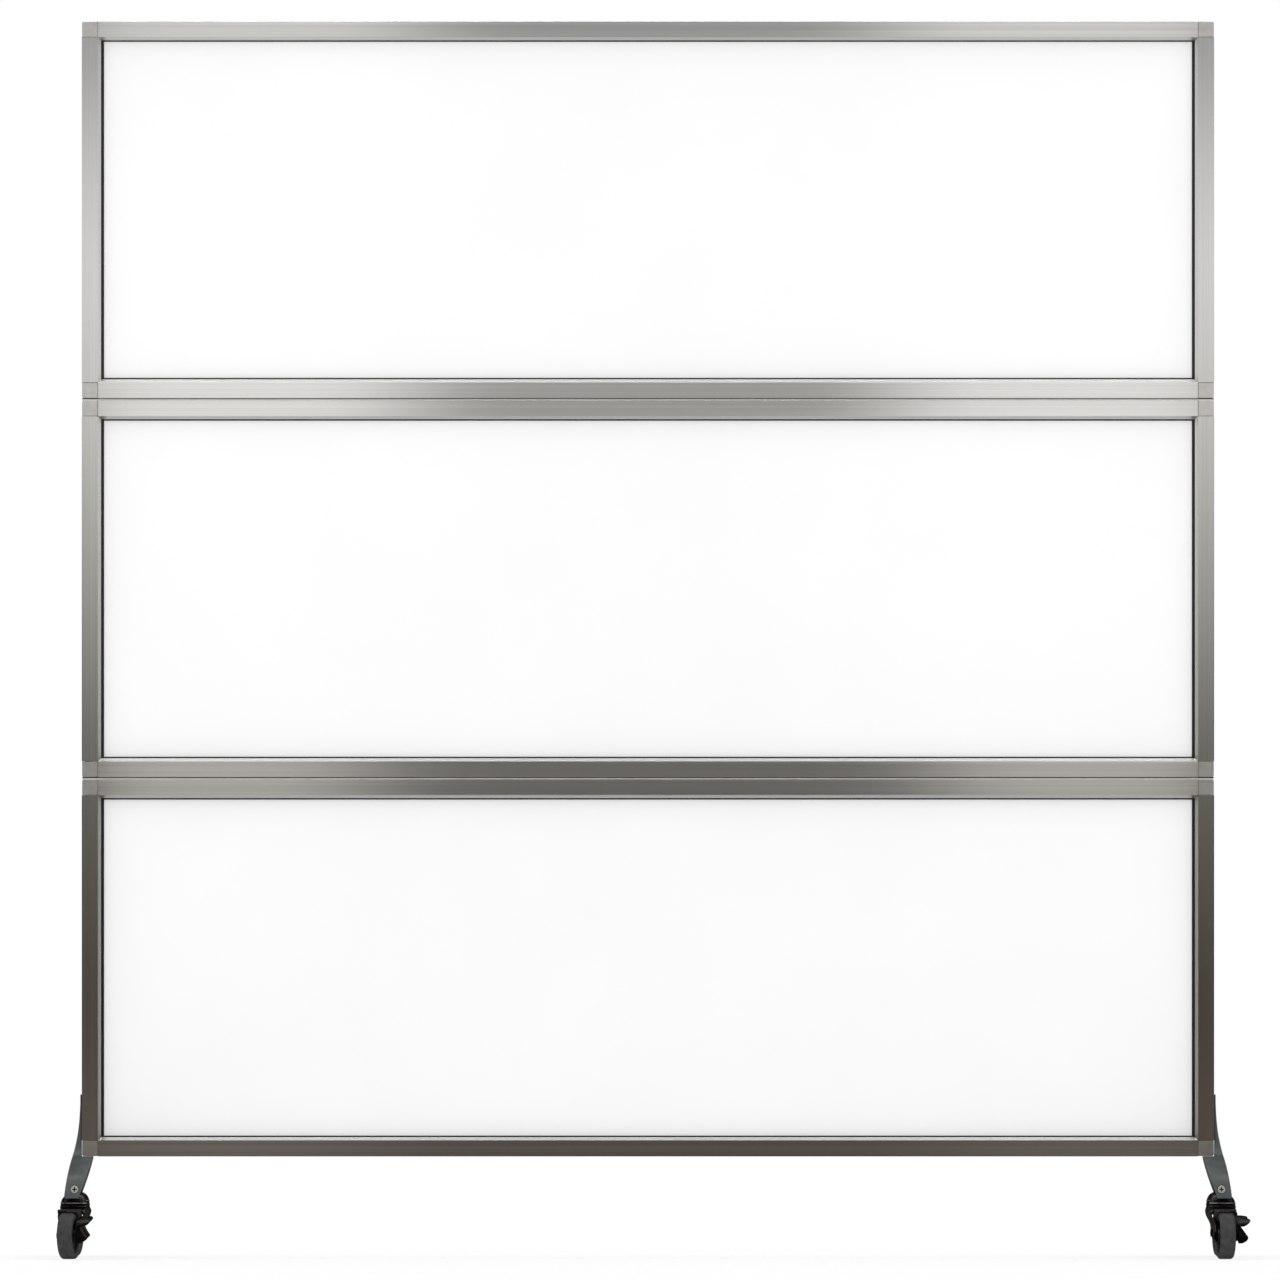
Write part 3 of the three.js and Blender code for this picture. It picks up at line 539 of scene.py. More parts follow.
armSizes = {
    "plate": 2.6, "topOut": 22.0, "lowOut": 16.7, "bendTop": 71.0, "bendBottom": 51.0,
    "top": 79.9, "halfTop": 15.8, "taperTop": 75.1, "trail": 35.0, "axle": 38.1, "end": 10.5,
    "flare": 8.0, "flareDepth": 6.5, "spread": 60.0, "spreadDepth": 20.0, "least": 6.0,
    "rows": 44, "columns": 12, "edge": 0.5,
}


def armEdges(z):
    # the arm's two edges seen from the side, at a height
    lean = math.atan2(armSizes["trail"], crownSizes["bottom"] - armSizes["axle"])
    across, up = armSizes["end"] * math.cos(lean), armSizes["end"] * math.sin(lean)
    reach = math.sqrt(max(armSizes["end"] ** 2 - (z - armSizes["axle"]) ** 2, 0))
    frontLow, rearLow = armSizes["axle"] + up, armSizes["axle"] - up

    def slope(y, low):
        share = min(1, (z - low) / (armSizes["taperTop"] - low))
        return y + (math.copysign(armSizes["halfTop"], y + armSizes["trail"]) - y) * share

    axleY = -armSizes["trail"]
    frontEdge = axleY - reach if z < frontLow else slope(axleY - across, frontLow)
    rearEdge = axleY + reach if z < rearLow else slope(axleY + across, rearLow)
    return frontEdge, rearEdge


def armOut(y, z):
    # how far out the arm's inner face stands: it bends in to the wheel and follows the crown
    bend = armSizes["bendTop"] - armSizes["bendBottom"]
    share = min(1, max(0, (z - armSizes["bendBottom"]) / bend))
    eased = share * share * (3 - 2 * share)
    out = armSizes["lowOut"] + (armSizes["topOut"] - armSizes["lowOut"]) * eased
    flareShare = min(1, max(0, (crownSizes["bottom"] - z) / armSizes["flareDepth"]))
    spreadShare = max(0, (armSizes["bendTop"] - z) / armSizes["spreadDepth"])
    outer = crownSizes["radius"] + armSizes["flare"] * flareShare + armSizes["spread"] * spreadShare
    return min(out, math.sqrt(max(outer ** 2 - y ** 2, armSizes["least"] ** 2))) - armSizes["plate"]


def forkArm(side):
    shape = bmesh.new()
    bmesh.ops.create_grid(
        shape, x_segments=armSizes["columns"], y_segments=armSizes["rows"], size=1
    )
    for corner in shape.verts:
        share = (1 + corner.co.y) / 2
        drop = armSizes["axle"] - armSizes["end"]
        z = drop + (armSizes["top"] - drop) * (1 - math.cos(share * math.pi / 2)) + 1e-4
        frontEdge, rearEdge = armEdges(z)
        y = frontEdge + (rearEdge - frontEdge) * (1 + corner.co.x) / 2
        corner.co = Vector((side * armOut(y, z), y, z)) * millimetre
    bmesh.ops.remove_doubles(shape, verts=shape.verts, dist=2e-5)
    bmesh.ops.recalc_face_normals(shape, faces=shape.faces)
    if sum(face.normal.x for face in shape.faces) * side > 0:
        bmesh.ops.reverse_faces(shape, faces=shape.faces)
    bmesh.ops.solidify(shape, geom=shape.faces, thickness=armSizes["plate"] * millimetre)
    cleaned(shape)
    return softened(shape, armSizes["edge"], angle=60)


forkShape = joined(crownShape, forkArm(1), forkArm(-1))


def around(radius, turns):
    # points of a circle, at turns in radians
    return [(radius * math.cos(turn), radius * math.sin(turn)) for turn in turns]


boltSizes = {
    "plateOut": 16.7, "gap": 0.3, "head": 2.6, "nut": 3.6, "radius": 7.4, "rocker": 2.4, "shank": 4.0,
    "tip": 0.4, "chamfer": 0.8, "edge": 0.5, "steps": 32,
}
hexagon = around(boltSizes["radius"], [math.radians(60 * i) for i in range(6)])
headIn = boltSizes["plateOut"] + boltSizes["gap"]
nutIn = headIn + boltSizes["rocker"] + 2 * boltSizes["gap"]
shankStart = -headIn - 0.5  # inside the head
axleEnd = nutIn + boltSizes["nut"] + boltSizes["tip"]
boltShape = joined(
    spun([
        (0, shankStart), (boltSizes["shank"], shankStart),
        (boltSizes["shank"], axleEnd - boltSizes["chamfer"]),
        (boltSizes["shank"] - boltSizes["chamfer"], axleEnd), (0, axleEnd),
    ], boltSizes["steps"], "x"),
    softened(outlined(hexagon, "x", -headIn - boltSizes["head"], -headIn), boltSizes["edge"]),
    softened(outlined(hexagon, "x", nutIn, nutIn + boltSizes["nut"]), boltSizes["edge"]),
)

stemSizes = {
    "head": 9.5, "bottom": 92.6, "headTop": 95.2, "neck": 6.0, "collar": 10.0, "collarBottom": 103.8,
    "collarTop": 104.8, "shank": 5.5, "top": 125.5, "chamfer": 0.9, "steps": 48,
}
stemProfile = [
    (0, stemSizes["bottom"]), (stemSizes["head"] - 0.6, stemSizes["bottom"]),
    (stemSizes["head"], stemSizes["bottom"] + 0.5), (stemSizes["head"], stemSizes["headTop"]),
    (stemSizes["neck"], stemSizes["headTop"]), (stemSizes["neck"], stemSizes["collarBottom"]),
    (stemSizes["collar"] - 0.4, stemSizes["collarBottom"]),
    (stemSizes["collar"], stemSizes["collarBottom"] + 0.3),
    (stemSizes["collar"], stemSizes["collarTop"] - 0.3),
    (stemSizes["collar"] - 0.3, stemSizes["collarTop"]), (stemSizes["shank"], stemSizes["collarTop"]),
    (stemSizes["shank"], stemSizes["top"] - stemSizes["chamfer"]),
    (stemSizes["shank"] - stemSizes["chamfer"], stemSizes["top"]), (0, stemSizes["top"]),
]
stemShape = spun(stemProfile, stemSizes["steps"])

rockerSizes = {
    "inner": 17.3, "reach": 38.38, "outerRadius": 31.0, "innerRadius": 11.0, "low": -24, "high": 66,
    "plate": 2.4, "eye": 9.0, "bore": 4.3, "treadRound": 0.9, "webRound": 0.3, "steps": 40,
}


def curved(start, control, end, steps=8):
    # points of a curve that bends towards the control point
    shares = [i / steps for i in range(steps + 1)]
    return [
        tuple(a * (1 - s) ** 2 + 2 * b * s * (1 - s) + c * s * s for a, b, c in zip(start, control, end))
        for s in shares
    ]


def brakeRocker():
    inner, reach, plate = rockerSizes["inner"], rockerSizes["reach"], rockerSizes["plate"]
    low, high = math.radians(rockerSizes["low"]), math.radians(rockerSizes["high"])
    top = rockerSizes["outerRadius"] * math.sin(high)
    bottom = rockerSizes["outerRadius"] * math.sin(low)
    breadth = reach - inner
    treads = [(inner, top - plate * 2)]
    treads += curved(treads[-1], (inner + breadth / 4, top + plate), (inner + breadth / 2, top))[1:]
    treads += [(reach - plate, top - plate / 2)]
    treads += curved(treads[-1], (reach, top - plate), (reach, top - plate * 2), 4)[1:]
    treads += curved(treads[-1], (inner + breadth * 2 / 3, top / 2), (inner + breadth / 5, top / 2))[1:]
    treads += [(inner + breadth * 3 / 4, bottom / 5)]
    treads += curved(
        treads[-1], (inner + breadth * 3 / 4, bottom * 3 / 4), (inner + breadth / 4, bottom)
    )[1:]
    treads += [(inner, bottom)]
    turns = [math.pi - high + (high - low) * i / 20 for i in range(21)]
    sector = around(rockerSizes["outerRadius"], turns)
    sector += around(rockerSizes["innerRadius"], reversed(turns))
    past = rockerSizes["outerRadius"] + 5
    tread = combined(
        outlined(sector, "x", inner, reach + 2), outlined(treads, "y", -past, past), "INTERSECT"
    )
    web = around(rockerSizes["innerRadius"] + plate * 2, turns) + [(0, 0)]
    eye, bore = rockerSizes["eye"], rockerSizes["bore"]
    eyeProfile = [
        (bore, inner), (eye - 0.4, inner), (eye, inner + 0.4), (eye, inner + plate - 0.4),
        (eye - 0.4, inner + plate), (bore, inner + plate), (bore, inner),
    ]
    return joined(
        softened(tread, rockerSizes["treadRound"], angle=50, segments=3),
        softened(outlined(web, "x", inner, inner + plate), rockerSizes["webRound"], angle=50),
        spun(eyeProfile, rockerSizes["steps"], "x"),
    )


rockerShape = brakeRocker()


places = ["front_right", "front_left", "rear_right", "rear_left"]
for place in places:
    stem = middle(f"{place}_caster_stem")
    wheel = middle(f"{place}_tyre")
    turn = math.atan2(wheel.x - stem.x, stem.y - wheel.y)
    upright = Matrix.Translation((stem.x, stem.y, 0)) @ Matrix.Rotation(turn, 4, "Z")
    axle = Matrix.Translation(wheel) @ Matrix.Rotation(turn, 4, "Z")
    words = place.split("_")
    label = words[0] + words[1].capitalize()
    swivel, rolling, braking = f"{place}_swivel", f"{place}_wheel", f"{place}_brake"
    for part, shape, matrix, finishName, slotName, body, replaced in (
        ("Stem", stemShape, upright, "blackSteel", "caster_stem", "screen", ["caster_stem"]),
        ("Fork", forkShape, upright, "blackEnamel", "fork", swivel, ["fork"]),
        ("Hood", hoodShape, upright, "hoodEnamel", "fork", swivel, ["fork"]),
        ("RaceRing", ringShape, upright, "wornSteel", "fork", swivel, []),
        ("AxleBolt", boltShape, axle, "blackSteel", "axle_bolt", swivel, ["axle_bolt"]),
        ("Tyre", tyreShape, axle, "tyreRubber", "tyre", rolling, ["tyre"]),
        ("Hub", hubShape, axle, "hubPlastic", "wheel_hub", rolling, ["wheel_hub"]),
        ("Brake", rockerShape, axle, "blackEnamel", "brake", braking, ["brake_rocker"]),
    ):
        replacedNodes = [f"{place}_{node}" for node in replaced]
        addPiece(label + part, placed(shape, matrix), finishName, body, replacedNodes)
print("casters built")


# legs
legSizes = {
    "side": 914.4, "gap": 0.3, "frameBottom": 163.4, "lipBottom": 97.5, "under": 105.1, "toeTop": 127.0,
    "reach": 217.0, "lip": 3.2, "wall": 2.6, "toeRound": 15.0, "archRise": 26.0, "archHalf": 140.0,
    "shoulder": 40.0, "tongueRise": 100.0, "tongueHalf": 16.0, "tongueRound": 6.0, "tongue": 2.2,
    "hip": 15.0, "knee": 22.8, "foot": 26.5, "footInner": 3.5, "hipInner": 18.5, "corner": 3.0,
    "stemOut": 11.1, "stemBack": 27.0, "boss": 8.4, "bore": 5.8, "boreTop": 126.1, "overrun": 6.0,
    "fixingPitch": 11.0, "fixingDown": 15.0, "fixingHead": 5.1, "fixingShank": 2.8, "fixingSink": 2.2,
    "edge": 0.9, "steps": 32,
}


def swept(ends, steps):
    # points of a cubic curve after its first one, from its four control points
    points = []
    for i in range(1, steps + 1):
        share = i / steps
        rest = 1 - share
        weights = [rest ** 3, 3 * share * rest ** 2, 3 * share ** 2 * rest, share ** 3]
        points.append(tuple(sum(w * end[k] for w, end in zip(weights, ends)) for k in (0, 1)))
    return points


def legFront(inset):
    # the right leg seen from the front, in (x, z); an inset gives its hollow
    sizes = legSizes
    bottom = sizes["lipBottom"] - (sizes["overrun"] if inset else 0)
    hip = sizes["frameBottom"] - sizes["gap"] - inset
    knee = (sizes["frameBottom"] + sizes["lipBottom"]) / 2
    footOut = sizes["side"] + sizes["foot"] - inset
    hipIn = sizes["side"] - sizes["hipInner"]
    points = curved(
        (hipIn + inset, hip), (hipIn + sizes["hipInner"] / 2 + inset, knee),
        (sizes["side"] + sizes["footInner"] + inset, bottom), 20,
    )
    points += curved(
        (footOut - sizes["corner"], bottom), (footOut, bottom),
        (footOut, sizes["lipBottom"] + sizes["corner"]), 6,
    )
    points += curved(
        points[-1], (sizes["side"] + sizes["knee"] - inset, knee),
        (sizes["side"] + sizes["hip"] - inset, sizes["frameBottom"] - inset), 24,
    )[1:]
    if inset:
        return points
    outer = sizes["side"] + sizes["gap"]
    top = sizes["frameBottom"] + sizes["tongueRise"]
    ends = [
        points[-1], (outer + sizes["hip"] / 2, sizes["frameBottom"] + sizes["tongueRise"] / 4),
        (outer + sizes["tongue"], sizes["frameBottom"] + sizes["tongueRise"] / 2),
        (outer + sizes["tongue"], top),
    ]
    return points + swept(ends, 24) + [(outer, top), (outer, hip)]


def legSide(inset):
    # the leg seen from the side, in (y, z), built up from its middle to one end and mirrored
    sizes = legSizes
    reach = sizes["reach"] - (sizes["lip"] if inset else 0)
    hip = sizes["frameBottom"] - sizes["gap"] - inset
    toe = sizes["toeTop"] - inset
    under = sizes["under"]
    if inset:
        half = [(reach, under - sizes["overrun"])]
    else:
        archTop = under + sizes["archRise"]
        half = curved(
            (0, archTop), (sizes["archHalf"] / 2, archTop),
            (sizes["archHalf"] + sizes["shoulder"] / 2, under), 16,
        )
        lipIn, lipBottom = reach - sizes["lip"], sizes["lipBottom"]
        half += [(lipIn, under), (lipIn, lipBottom), (reach, lipBottom)]
    half += curved(
        (reach, toe - sizes["toeRound"]), (reach, toe),
        (reach - sizes["toeRound"], toe + (hip - toe) / 4), 10,
    )
    half += curved(half[-1], (sizes["reach"] / 2, hip), (sizes["shoulder"], hip), 16)[1:]
    if inset:
        return half + [(-y, z) for y, z in reversed(half)]
    top = sizes["frameBottom"] + sizes["tongueRise"]
    edge = sizes["tongueHalf"]
    half += curved(half[-1], (edge, hip), (edge, sizes["frameBottom"] + sizes["shoulder"]), 12)[1:]
    half += curved((edge, top - sizes["tongueRound"]), (edge, top), (edge - sizes["tongueRound"], top), 8)
    return half + [(-y, z) for y, z in reversed(half[1:])]


def legBody(inset):
    ends = legSizes["reach"] + legSizes["overrun"]
    inner = legSizes["side"] - legSizes["hipInner"] - legSizes["overrun"]
    outer = legSizes["side"] + legSizes["foot"] + legSizes["overrun"]
    front = outlined(legFront(inset), "y", -ends, ends)
    return combined(front, outlined(legSide(inset), "x", inner, outer), "INTERSECT")


def moved(shape, x, y, z):
    return placed(shape, Matrix.Translation(Vector((x, y, z)) * millimetre))


def rod(radius, low, high, axis="z"):
    return spun([(0, low), (radius, low), (radius, high), (0, high)], legSizes["steps"], axis)


# toe screws, each in a shallow seat in the leg's toe
screwSizes = {
    "out": 9.6, "height": 112.2, "head": 6.5, "rise": 2.3, "rimShare": 0.35, "seat": 7.2,
    "seatDepth": 2.4, "slot": 1.9, "slotReach": 3.8, "slotDepth": 2.2, "steps": 40,
}


def legShape():
    sizes = legSizes
    leg = softened(legBody(0), sizes["edge"], angle=50, clamped=False)
    leg = combined(leg, legBody(sizes["wall"]), "DIFFERENCE")
    for end in (-1, 1):
        stemY = end * (sizes["reach"] - sizes["stemBack"])
        boss = rod(sizes["boss"], sizes["under"], sizes["frameBottom"])
        boss = moved(boss, sizes["side"] + sizes["stemOut"], stemY, 0)
        leg = combined(leg, combined(boss, legBody(sizes["wall"] / 2), "INTERSECT"), "UNION")
        bore = rod(sizes["bore"], sizes["under"] - sizes["overrun"], sizes["boreTop"])
        leg = combined(leg, moved(bore, sizes["side"] + sizes["stemOut"], stemY, 0), "DIFFERENCE")
        seat = placed(
            rod(screwSizes["seat"], -screwSizes["seatDepth"], sizes["overrun"]),
            Matrix.Rotation(-end * math.pi / 2, 4, "X"),
        )
        seat = moved(seat, sizes["side"] + screwSizes["out"], end * sizes["reach"], screwSizes["height"])
        leg = combined(leg, seat, "DIFFERENCE")
        face = sizes["side"] + sizes["gap"] + sizes["tongue"]
        sinkIn, sinkOut = face - sizes["overrun"], face + sizes["overrun"]
        sink = spun([
            (0, sinkIn), (sizes["fixingShank"], sinkIn), (sizes["fixingShank"], face - sizes["fixingSink"]),
            (sizes["fixingHead"], face), (sizes["fixingHead"], sinkOut), (0, sinkOut),
        ], sizes["steps"], "x")
        fixingHeight = sizes["frameBottom"] + sizes["tongueRise"] - sizes["fixingDown"]
        leg = combined(leg, moved(sink, 0, end * sizes["fixingPitch"], fixingHeight), "DIFFERENCE")
    return leg


legTemplate = legShape()
for side, name in ((1, "right"), (-1, "left")):
    stand = Matrix.Translation((screenMiddle.x, screenMiddle.y, 0)) @ Matrix.Diagonal((side, 1, 1, 1))
    leg = placed(legTemplate, stand)
    bmesh.ops.recalc_face_normals(leg, faces=leg.faces)
    addPiece(name + "Leg", leg, "legPaint", "screen", [f"{name}_leg"], crease=32)
print("legs built")


def headHeight(slope):
    # of the screw head's dome, where the slope is 1 in the middle and 0 at the rim
    return screwSizes["rise"] * (screwSizes["rimShare"] + (1 - screwSizes["rimShare"]) * slope)


def toeScrew():
    # a pan head with a cross slot, facing up until it is placed
    sizes = screwSizes
    head = [(0, sizes["rise"])]
    for turn in range(12, 91, 13):
        lean = math.radians(turn)
        head.append((sizes["head"] * math.sin(lean), headHeight(math.cos(lean))))
    head += [(sizes["head"], 0.05), (0, 0.05)]
    reach, half = sizes["slotReach"], sizes["slot"] / 2
    cross = [
        (reach, -half), (reach, half), (half, half), (half, reach), (-half, reach), (-half, half),
        (-reach, half), (-reach, -half), (-half, -half), (-half, -reach), (half, -reach), (half, -half),
    ]
    slot = outlined(cross, "z", sizes["rise"] - sizes["slotDepth"], sizes["rise"] + 2)
    return combined(spun(head, sizes["steps"]), slot, "DIFFERENCE")


def inPaintedSlotShade(point):
    # the cross slot's walls and floor take a dark finish, as painted shade in the recess
    reach, half = screwSizes["slotReach"] + 0.1, screwSizes["slot"] / 2 + 0.1
    across, along = sorted((abs(point.x) / millimetre, abs(point.y) / millimetre))
    surface = headHeight(math.sqrt(max(0, 1 - (along / screwSizes["head"]) ** 2)))
    return across < half and along < reach and 0.06 < point.z / millimetre < surface - 0.25


screwShape = toeScrew()
for end, endName in ((-1, "front"), (1, "rear")):
    for side, sideName in ((1, "Right"), (-1, "Left")):
        seatY = end * (legSizes["reach"] - screwSizes["seatDepth"])
        seatX = side * (legSizes["side"] + screwSizes["out"])
        seatPlace = Matrix.Translation(Vector((seatX, seatY, screwSizes["height"])) * millimetre)
        facing = Matrix.Rotation(-end * math.pi / 2, 4, "X")
        stand = Matrix.Translation((screenMiddle.x, screenMiddle.y, 0)) @ seatPlace @ facing
        screwName = endName + sideName + "ToeScrew"
        screw = addPiece(screwName, placed(screwShape, stand), "zincSteel", "screen")
        # the dark steel goes on the slot's walls and floor as painted shade
        screw.data.materials.append(finishes["blackSteel"])
        for face in screw.data.polygons:
            if inPaintedSlotShade(stand.inverted() @ face.center):
                face.material_index = 1
print("toe screws built")


# joining strips, which fill the seams between the sections
stripSizes = {
    "half": 913.8, "seam": 2.4, "overlap": 0.05, "inset": 0.6, "block": 26.0, "depth": 19.0,
    "key": 3.9, "keyDepth": 5.7, "keyBack": 1.0,
}
sectionSizes = {"bottom": 163.4, "height": 609.6}


def stripShape():
    thin = stripSizes["seam"] / 2 + stripSizes["overlap"]
    thick = thin + stripSizes["inset"]
    reach = stripSizes["half"]
    inner = reach - stripSizes["block"]
    top = [(-reach, thick), (-inner, thick), (-inner, thin)]
    top += [(inner, thin), (inner, thick), (reach, thick)]
    outline = top + [(x, -z) for x, z in reversed(top)]
    web = outlined(outline, "y", -stripSizes["depth"], stripSizes["depth"])
    keyEnd, key = inner - stripSizes["keyBack"], stripSizes["key"]
    keyOutline = [(-keyEnd, -key), (keyEnd, -key), (keyEnd, key), (-keyEnd, key)]
    keyBar = outlined(keyOutline, "y", -stripSizes["keyDepth"], stripSizes["keyDepth"])
    return combined(web, keyBar, "UNION")


# the upper edge of each lower section, a light line in the seam under the dark strip, pale and mostly matt
# as a painted highlight
noseSizes = {
    "half": 887.9, "end": 913.6, "front": 21.7, "endFront": 21.2, "back": 18.8,
    "low": -1.15, "endLow": -1.75, "high": -0.05, "chamfer": 0.75,
}


def nosePart(start, end, front, low):
    sizes = noseSizes
    return outlined([
        (-sizes["back"], low), (-sizes["back"], sizes["high"]), (-front + sizes["chamfer"], sizes["high"]),
        (-front, sizes["high"] - sizes["chamfer"]), (-front, low),
    ], "x", start, end)


noseShape = joined(
    nosePart(-noseSizes["half"], noseSizes["half"], noseSizes["front"], noseSizes["low"]),
    nosePart(-noseSizes["end"], -noseSizes["half"], noseSizes["endFront"], noseSizes["endLow"]),
    nosePart(noseSizes["half"], noseSizes["end"], noseSizes["endFront"], noseSizes["endLow"]),
)

stripTemplate = stripShape()
for count, name in ((1, "lower_middle"), (2, "middle_upper")):
    pitch = sectionSizes["height"] + stripSizes["seam"]
    height = sectionSizes["bottom"] + count * pitch - stripSizes["seam"] / 2
    seamPlace = Matrix.Translation((screenMiddle.x, screenMiddle.y, height * millimetre))
    label = name.split("_")[1]
    strip = placed(stripTemplate, seamPlace)
    addPiece(label + "SeamStrip", strip, "seamRubber", "screen", [f"{name}_joining_strip"])
    for turn, endName in ((0, "Front"), (math.pi, "Rear")):
        nose = placed(noseShape, seamPlace @ Matrix.Rotation(turn, 4, "Z"))
        addPiece(label + endName + "SeamEdge", nose, "edgeMetal", "screen")
print("seam strips built")

# studio
studio = {
    "floor": 14.0, "floorTone": 0.4, "floorGlow": 0.62, "world": 0.87,
    # name, place, size and power of each lamp, which point at a height on the screen
    "lamps": [
        ("frontLeftLamp", (-4.5, -7.0, 2.0), (3.0, 3.0), 54),
        ("frontRightLamp", (4.5, -7.0, 2.0), (3.0, 3.0), 54),
        ("rearLamp", (0.0, 7.5, 4.5), (4.0, 3.0), 86.4),
    ],
    "lampAim": 0.9,
    "wallDistance": 0.6, "wallHalf": 4.0, "wallTop": 3.2,
    "metalGain": 1.25,  # the metal gives back about four fifths of what it sees
    # what the metal sees around it, by height in metres, as it looks in the metal
    "middle": [
        (0.1, (90, 80, 72)), (0.7, (34, 31, 28)), (1.2, (155, 154, 150)), (1.6, (182, 182, 182)),
        (2.2, (122, 121, 120)),
    ],
    "column": [
        (0.1, (66, 58, 52)), (0.4, (92, 84, 75)), (0.8, (172, 168, 160)), (1.3, (248, 248, 248)),
        (1.72, (240, 240, 240)), (1.88, (212, 211, 210)), (1.94, (184, 181, 179)), (2.1, (198, 196, 194)),
    ],
    "outside": [
        (0.1, (108, 97, 88)), (0.45, (38, 32, 26)), (0.85, (18, 17, 13)), (1.25, (154, 156, 148)),
        (1.6, (238, 238, 238)), (2.2, (84, 82, 80)),
    ],
    "ceiling": (175, 174, 172),
    "ground": (52, 45, 40),
    "strip": 9.0, "stripWidth": 0.12, "stripAway": 0.65, "stripDown": 0.05,
    # where the zones blend into each other, by distance from the middle
    "columnEdge": (0.3, 0.6), "outsideEdge": (0.84, 0.96),
    # from the first height to the second, the first edge shifts by the third value to the fourth
    "narrowing": (0.7, 1.4, -0.06, 0.07),
}


world = bpy.data.worlds.new("studio")
scene.world = world
world.use_nodes = True
worldNodes, worldLinks = world.node_tree.nodes, world.node_tree.links
background = worldNodes["Background"]
# the world is white where it is seen, and a little darker as a light
seen = worldNodes.new("ShaderNodeLightPath").outputs
direct = computed(worldNodes, worldLinks, "MAXIMUM", seen["Is Camera Ray"], seen["Is Glossy Ray"])
direct = computed(worldNodes, worldLinks, "MAXIMUM", direct, seen["Is Transmission Ray"])
level = worldNodes.new("ShaderNodeMapRange")
level.inputs["To Min"].default_value = studio["world"]
level.inputs["To Max"].default_value = 1.0
worldLinks.new(direct, level.inputs["Value"])
worldLinks.new(level.outputs["Result"], background.inputs["Strength"])
background.inputs["Color"].default_value = (1, 1, 1, 1)


def stagePlane(name, width, height, matrix, material, onlyInGloss=True):
    shape = bmesh.new()
    bmesh.ops.create_grid(shape, x_segments=1, y_segments=1, size=0.5)
    bmesh.ops.scale(shape, vec=(width, height, 1), verts=shape.verts)
    bmesh.ops.transform(shape, matrix=matrix, verts=shape.verts)
    mesh = bpy.data.meshes.new(name)
    shape.to_mesh(mesh)
    mesh.materials.append(material)
    plane = bpy.data.objects.new(name, mesh)
    scene.collection.objects.link(plane)
    if onlyInGloss:
        plane.visible_camera = False
        plane.visible_diffuse = False
        plane.visible_transmission = False
        plane.visible_shadow = False


floorMaterial, floorNodes = newMaterial("paleFloor")[:2]
floorShader = floorNodes["Principled BSDF"]
floorShader.inputs["Base Color"].default_value = (*[studio["floorTone"]] * 3, 1)
floorShader.inputs["Roughness"].default_value = 0.9
floorShader.inputs["Specular IOR Level"].default_value = 0.0
floorShader.inputs["Emission Color"].default_value = (1, 1, 1, 1)
floorShader.inputs["Emission Strength"].default_value = studio["floorGlow"]
floorSide = studio["floor"]
stagePlane("floor", floorSide, floorSide, Matrix.Identity(4), floorMaterial, onlyInGloss=False)


def glowMaterial(name):
    material, nodes, links = newMaterial(name)
    nodes.remove(nodes["Principled BSDF"])
    glow = nodes.new("ShaderNodeEmission")
    links.new(glow.outputs["Emission"], nodes["Material Output"].inputs["Surface"])
    return material, nodes, links, glow


def plainGlow(name, colour, strength):
    material, nodes, links, glow = glowMaterial(name)
    glow.inputs["Color"].default_value = colour
    glow.inputs["Strength"].default_value = strength
    return material


def heightRamp(nodes, links, height, stops):
    reach = nodes.new("ShaderNodeMapRange")
    reach.inputs["From Max"].default_value = studio["wallTop"]
    links.new(height, reach.inputs["Value"])
    ramp = nodes.new("ShaderNodeValToRGB")
    elements = ramp.color_ramp.elements
    elements.remove(elements[1])
    for i, (place, colour) in enumerate(stops):
        stop = elements[0] if i == 0 else elements.new(place / studio["wallTop"])
        stop.position = place / studio["wallTop"]
        stop.color = screenColour(*colour)
    links.new(reach.outputs["Result"], ramp.inputs["Fac"])
    return ramp.outputs["Color"]


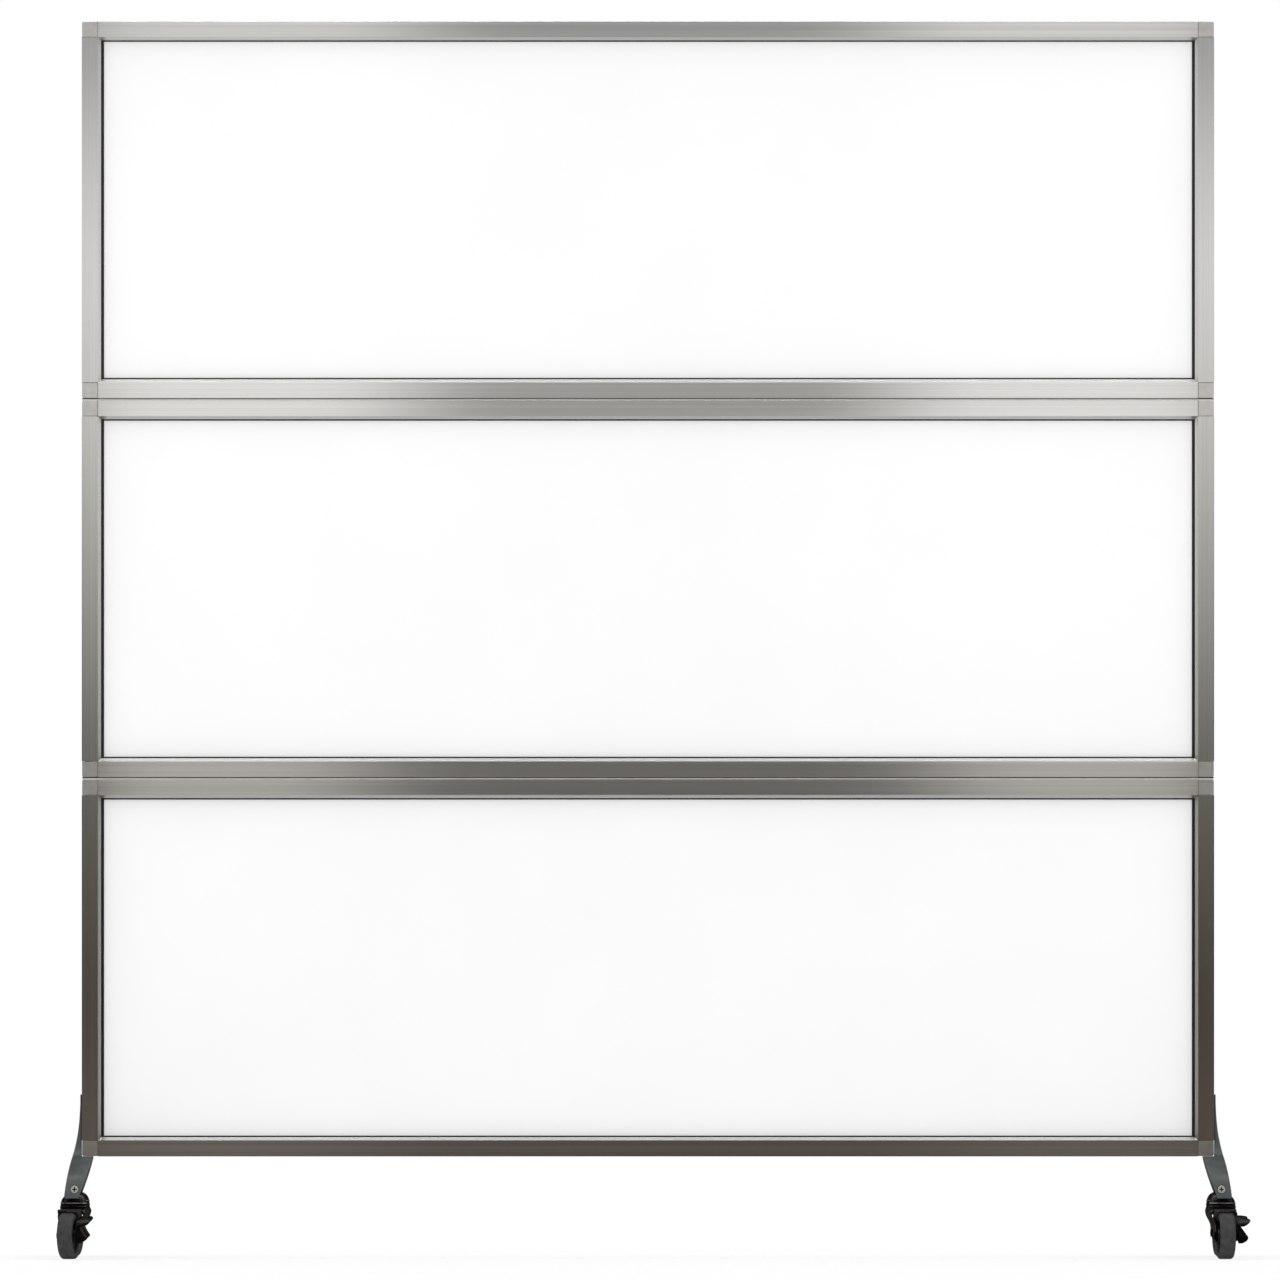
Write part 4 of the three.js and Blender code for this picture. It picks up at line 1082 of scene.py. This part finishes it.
def wallMaterial():
    # three upright zones by distance from the middle, which blend into each other; the darker
    # middle narrows with height
    material, nodes, links, glow = glowMaterial("surroundings")
    coordinates = nodes.new("ShaderNodeTexCoord")
    split = nodes.new("ShaderNodeSeparateXYZ")
    links.new(coordinates.outputs["Object"], split.inputs["Vector"])
    outward = computed(nodes, links, "ABSOLUTE", split.outputs["X"])
    colour = heightRamp(nodes, links, split.outputs["Z"], studio["middle"])
    narrowing = nodes.new("ShaderNodeMapRange")
    for socket, value in zip(("From Min", "From Max", "To Min", "To Max"), studio["narrowing"]):
        narrowing.inputs[socket].default_value = value
    links.new(split.outputs["Z"], narrowing.inputs["Value"])
    shifted = computed(nodes, links, "ADD", outward, narrowing.outputs["Result"])
    for zone, distance in (("column", shifted), ("outside", outward)):
        start, end = studio[zone + "Edge"]
        edge = nodes.new("ShaderNodeMapRange")
        edge.interpolation_type = "SMOOTHSTEP"
        edge.inputs["From Min"].default_value = start
        edge.inputs["From Max"].default_value = end
        links.new(distance, edge.inputs["Value"])
        blend = nodes.new("ShaderNodeMix")
        blend.data_type = "RGBA"
        links.new(edge.outputs["Result"], blend.inputs["Factor"])
        links.new(colour, blend.inputs["A"])
        links.new(heightRamp(nodes, links, split.outputs["Z"], studio[zone]), blend.inputs["B"])
        colour = blend.outputs["Result"]
    links.new(colour, glow.inputs["Color"])
    glow.inputs["Strength"].default_value = studio["metalGain"]
    return material


# what the metal sees: walls, light strips, a ceiling and the ground
walls = wallMaterial()
wallHalf, wallTop, away = studio["wallHalf"], studio["wallTop"], studio["wallDistance"]
for end, name in ((-1, "front"), (1, "rear")):
    wallPlace = Matrix.Translation((0, end * away, wallTop / 2)) @ Matrix.Rotation(math.pi / 2, 4, "X")
    stagePlane(name + "Wall", wallHalf * 2, wallTop, wallPlace, walls)
    stripPlace = Matrix.Translation((0, end * away * studio["stripAway"], wallTop - studio["stripDown"]))
    stripGlow = plainGlow(name + "Glow", (1, 1, 1, 1), studio["strip"])
    stagePlane(name + "Strip", wallHalf, studio["stripWidth"], stripPlace, stripGlow)
for end, name in ((-1, "left"), (1, "right")):
    wallPlace = Matrix.Translation((end * wallHalf, 0, wallTop / 2)) @ Matrix.Rotation(math.pi / 2, 4, "Y")
    stagePlane(name + "Wall", wallTop, away * 2, wallPlace, walls)
for name, height in (("ceiling", wallTop), ("ground", millimetre)):
    levelGlow = plainGlow(name + "Glow", screenColour(*studio[name]), studio["metalGain"])
    stagePlane(name, wallHalf * 2, away * 2, Matrix.Translation((0, 0, height)), levelGlow)

for name, lampPlace, size, power in studio["lamps"]:
    lamp = bpy.data.lights.new(name, "AREA")
    lamp.shape = "RECTANGLE"
    lamp.size, lamp.size_y = size
    lamp.energy = power
    lampStand = bpy.data.objects.new(name, lamp)
    lampStand.location = lampPlace
    facing = Vector((0, 0, studio["lampAim"])) - Vector(lampPlace)
    lampStand.rotation_euler = facing.to_track_quat("-Z", "Y").to_euler()
    lampStand.visible_glossy = False
    lampStand.visible_camera = False
    scene.collection.objects.link(lampStand)
print("studio built")
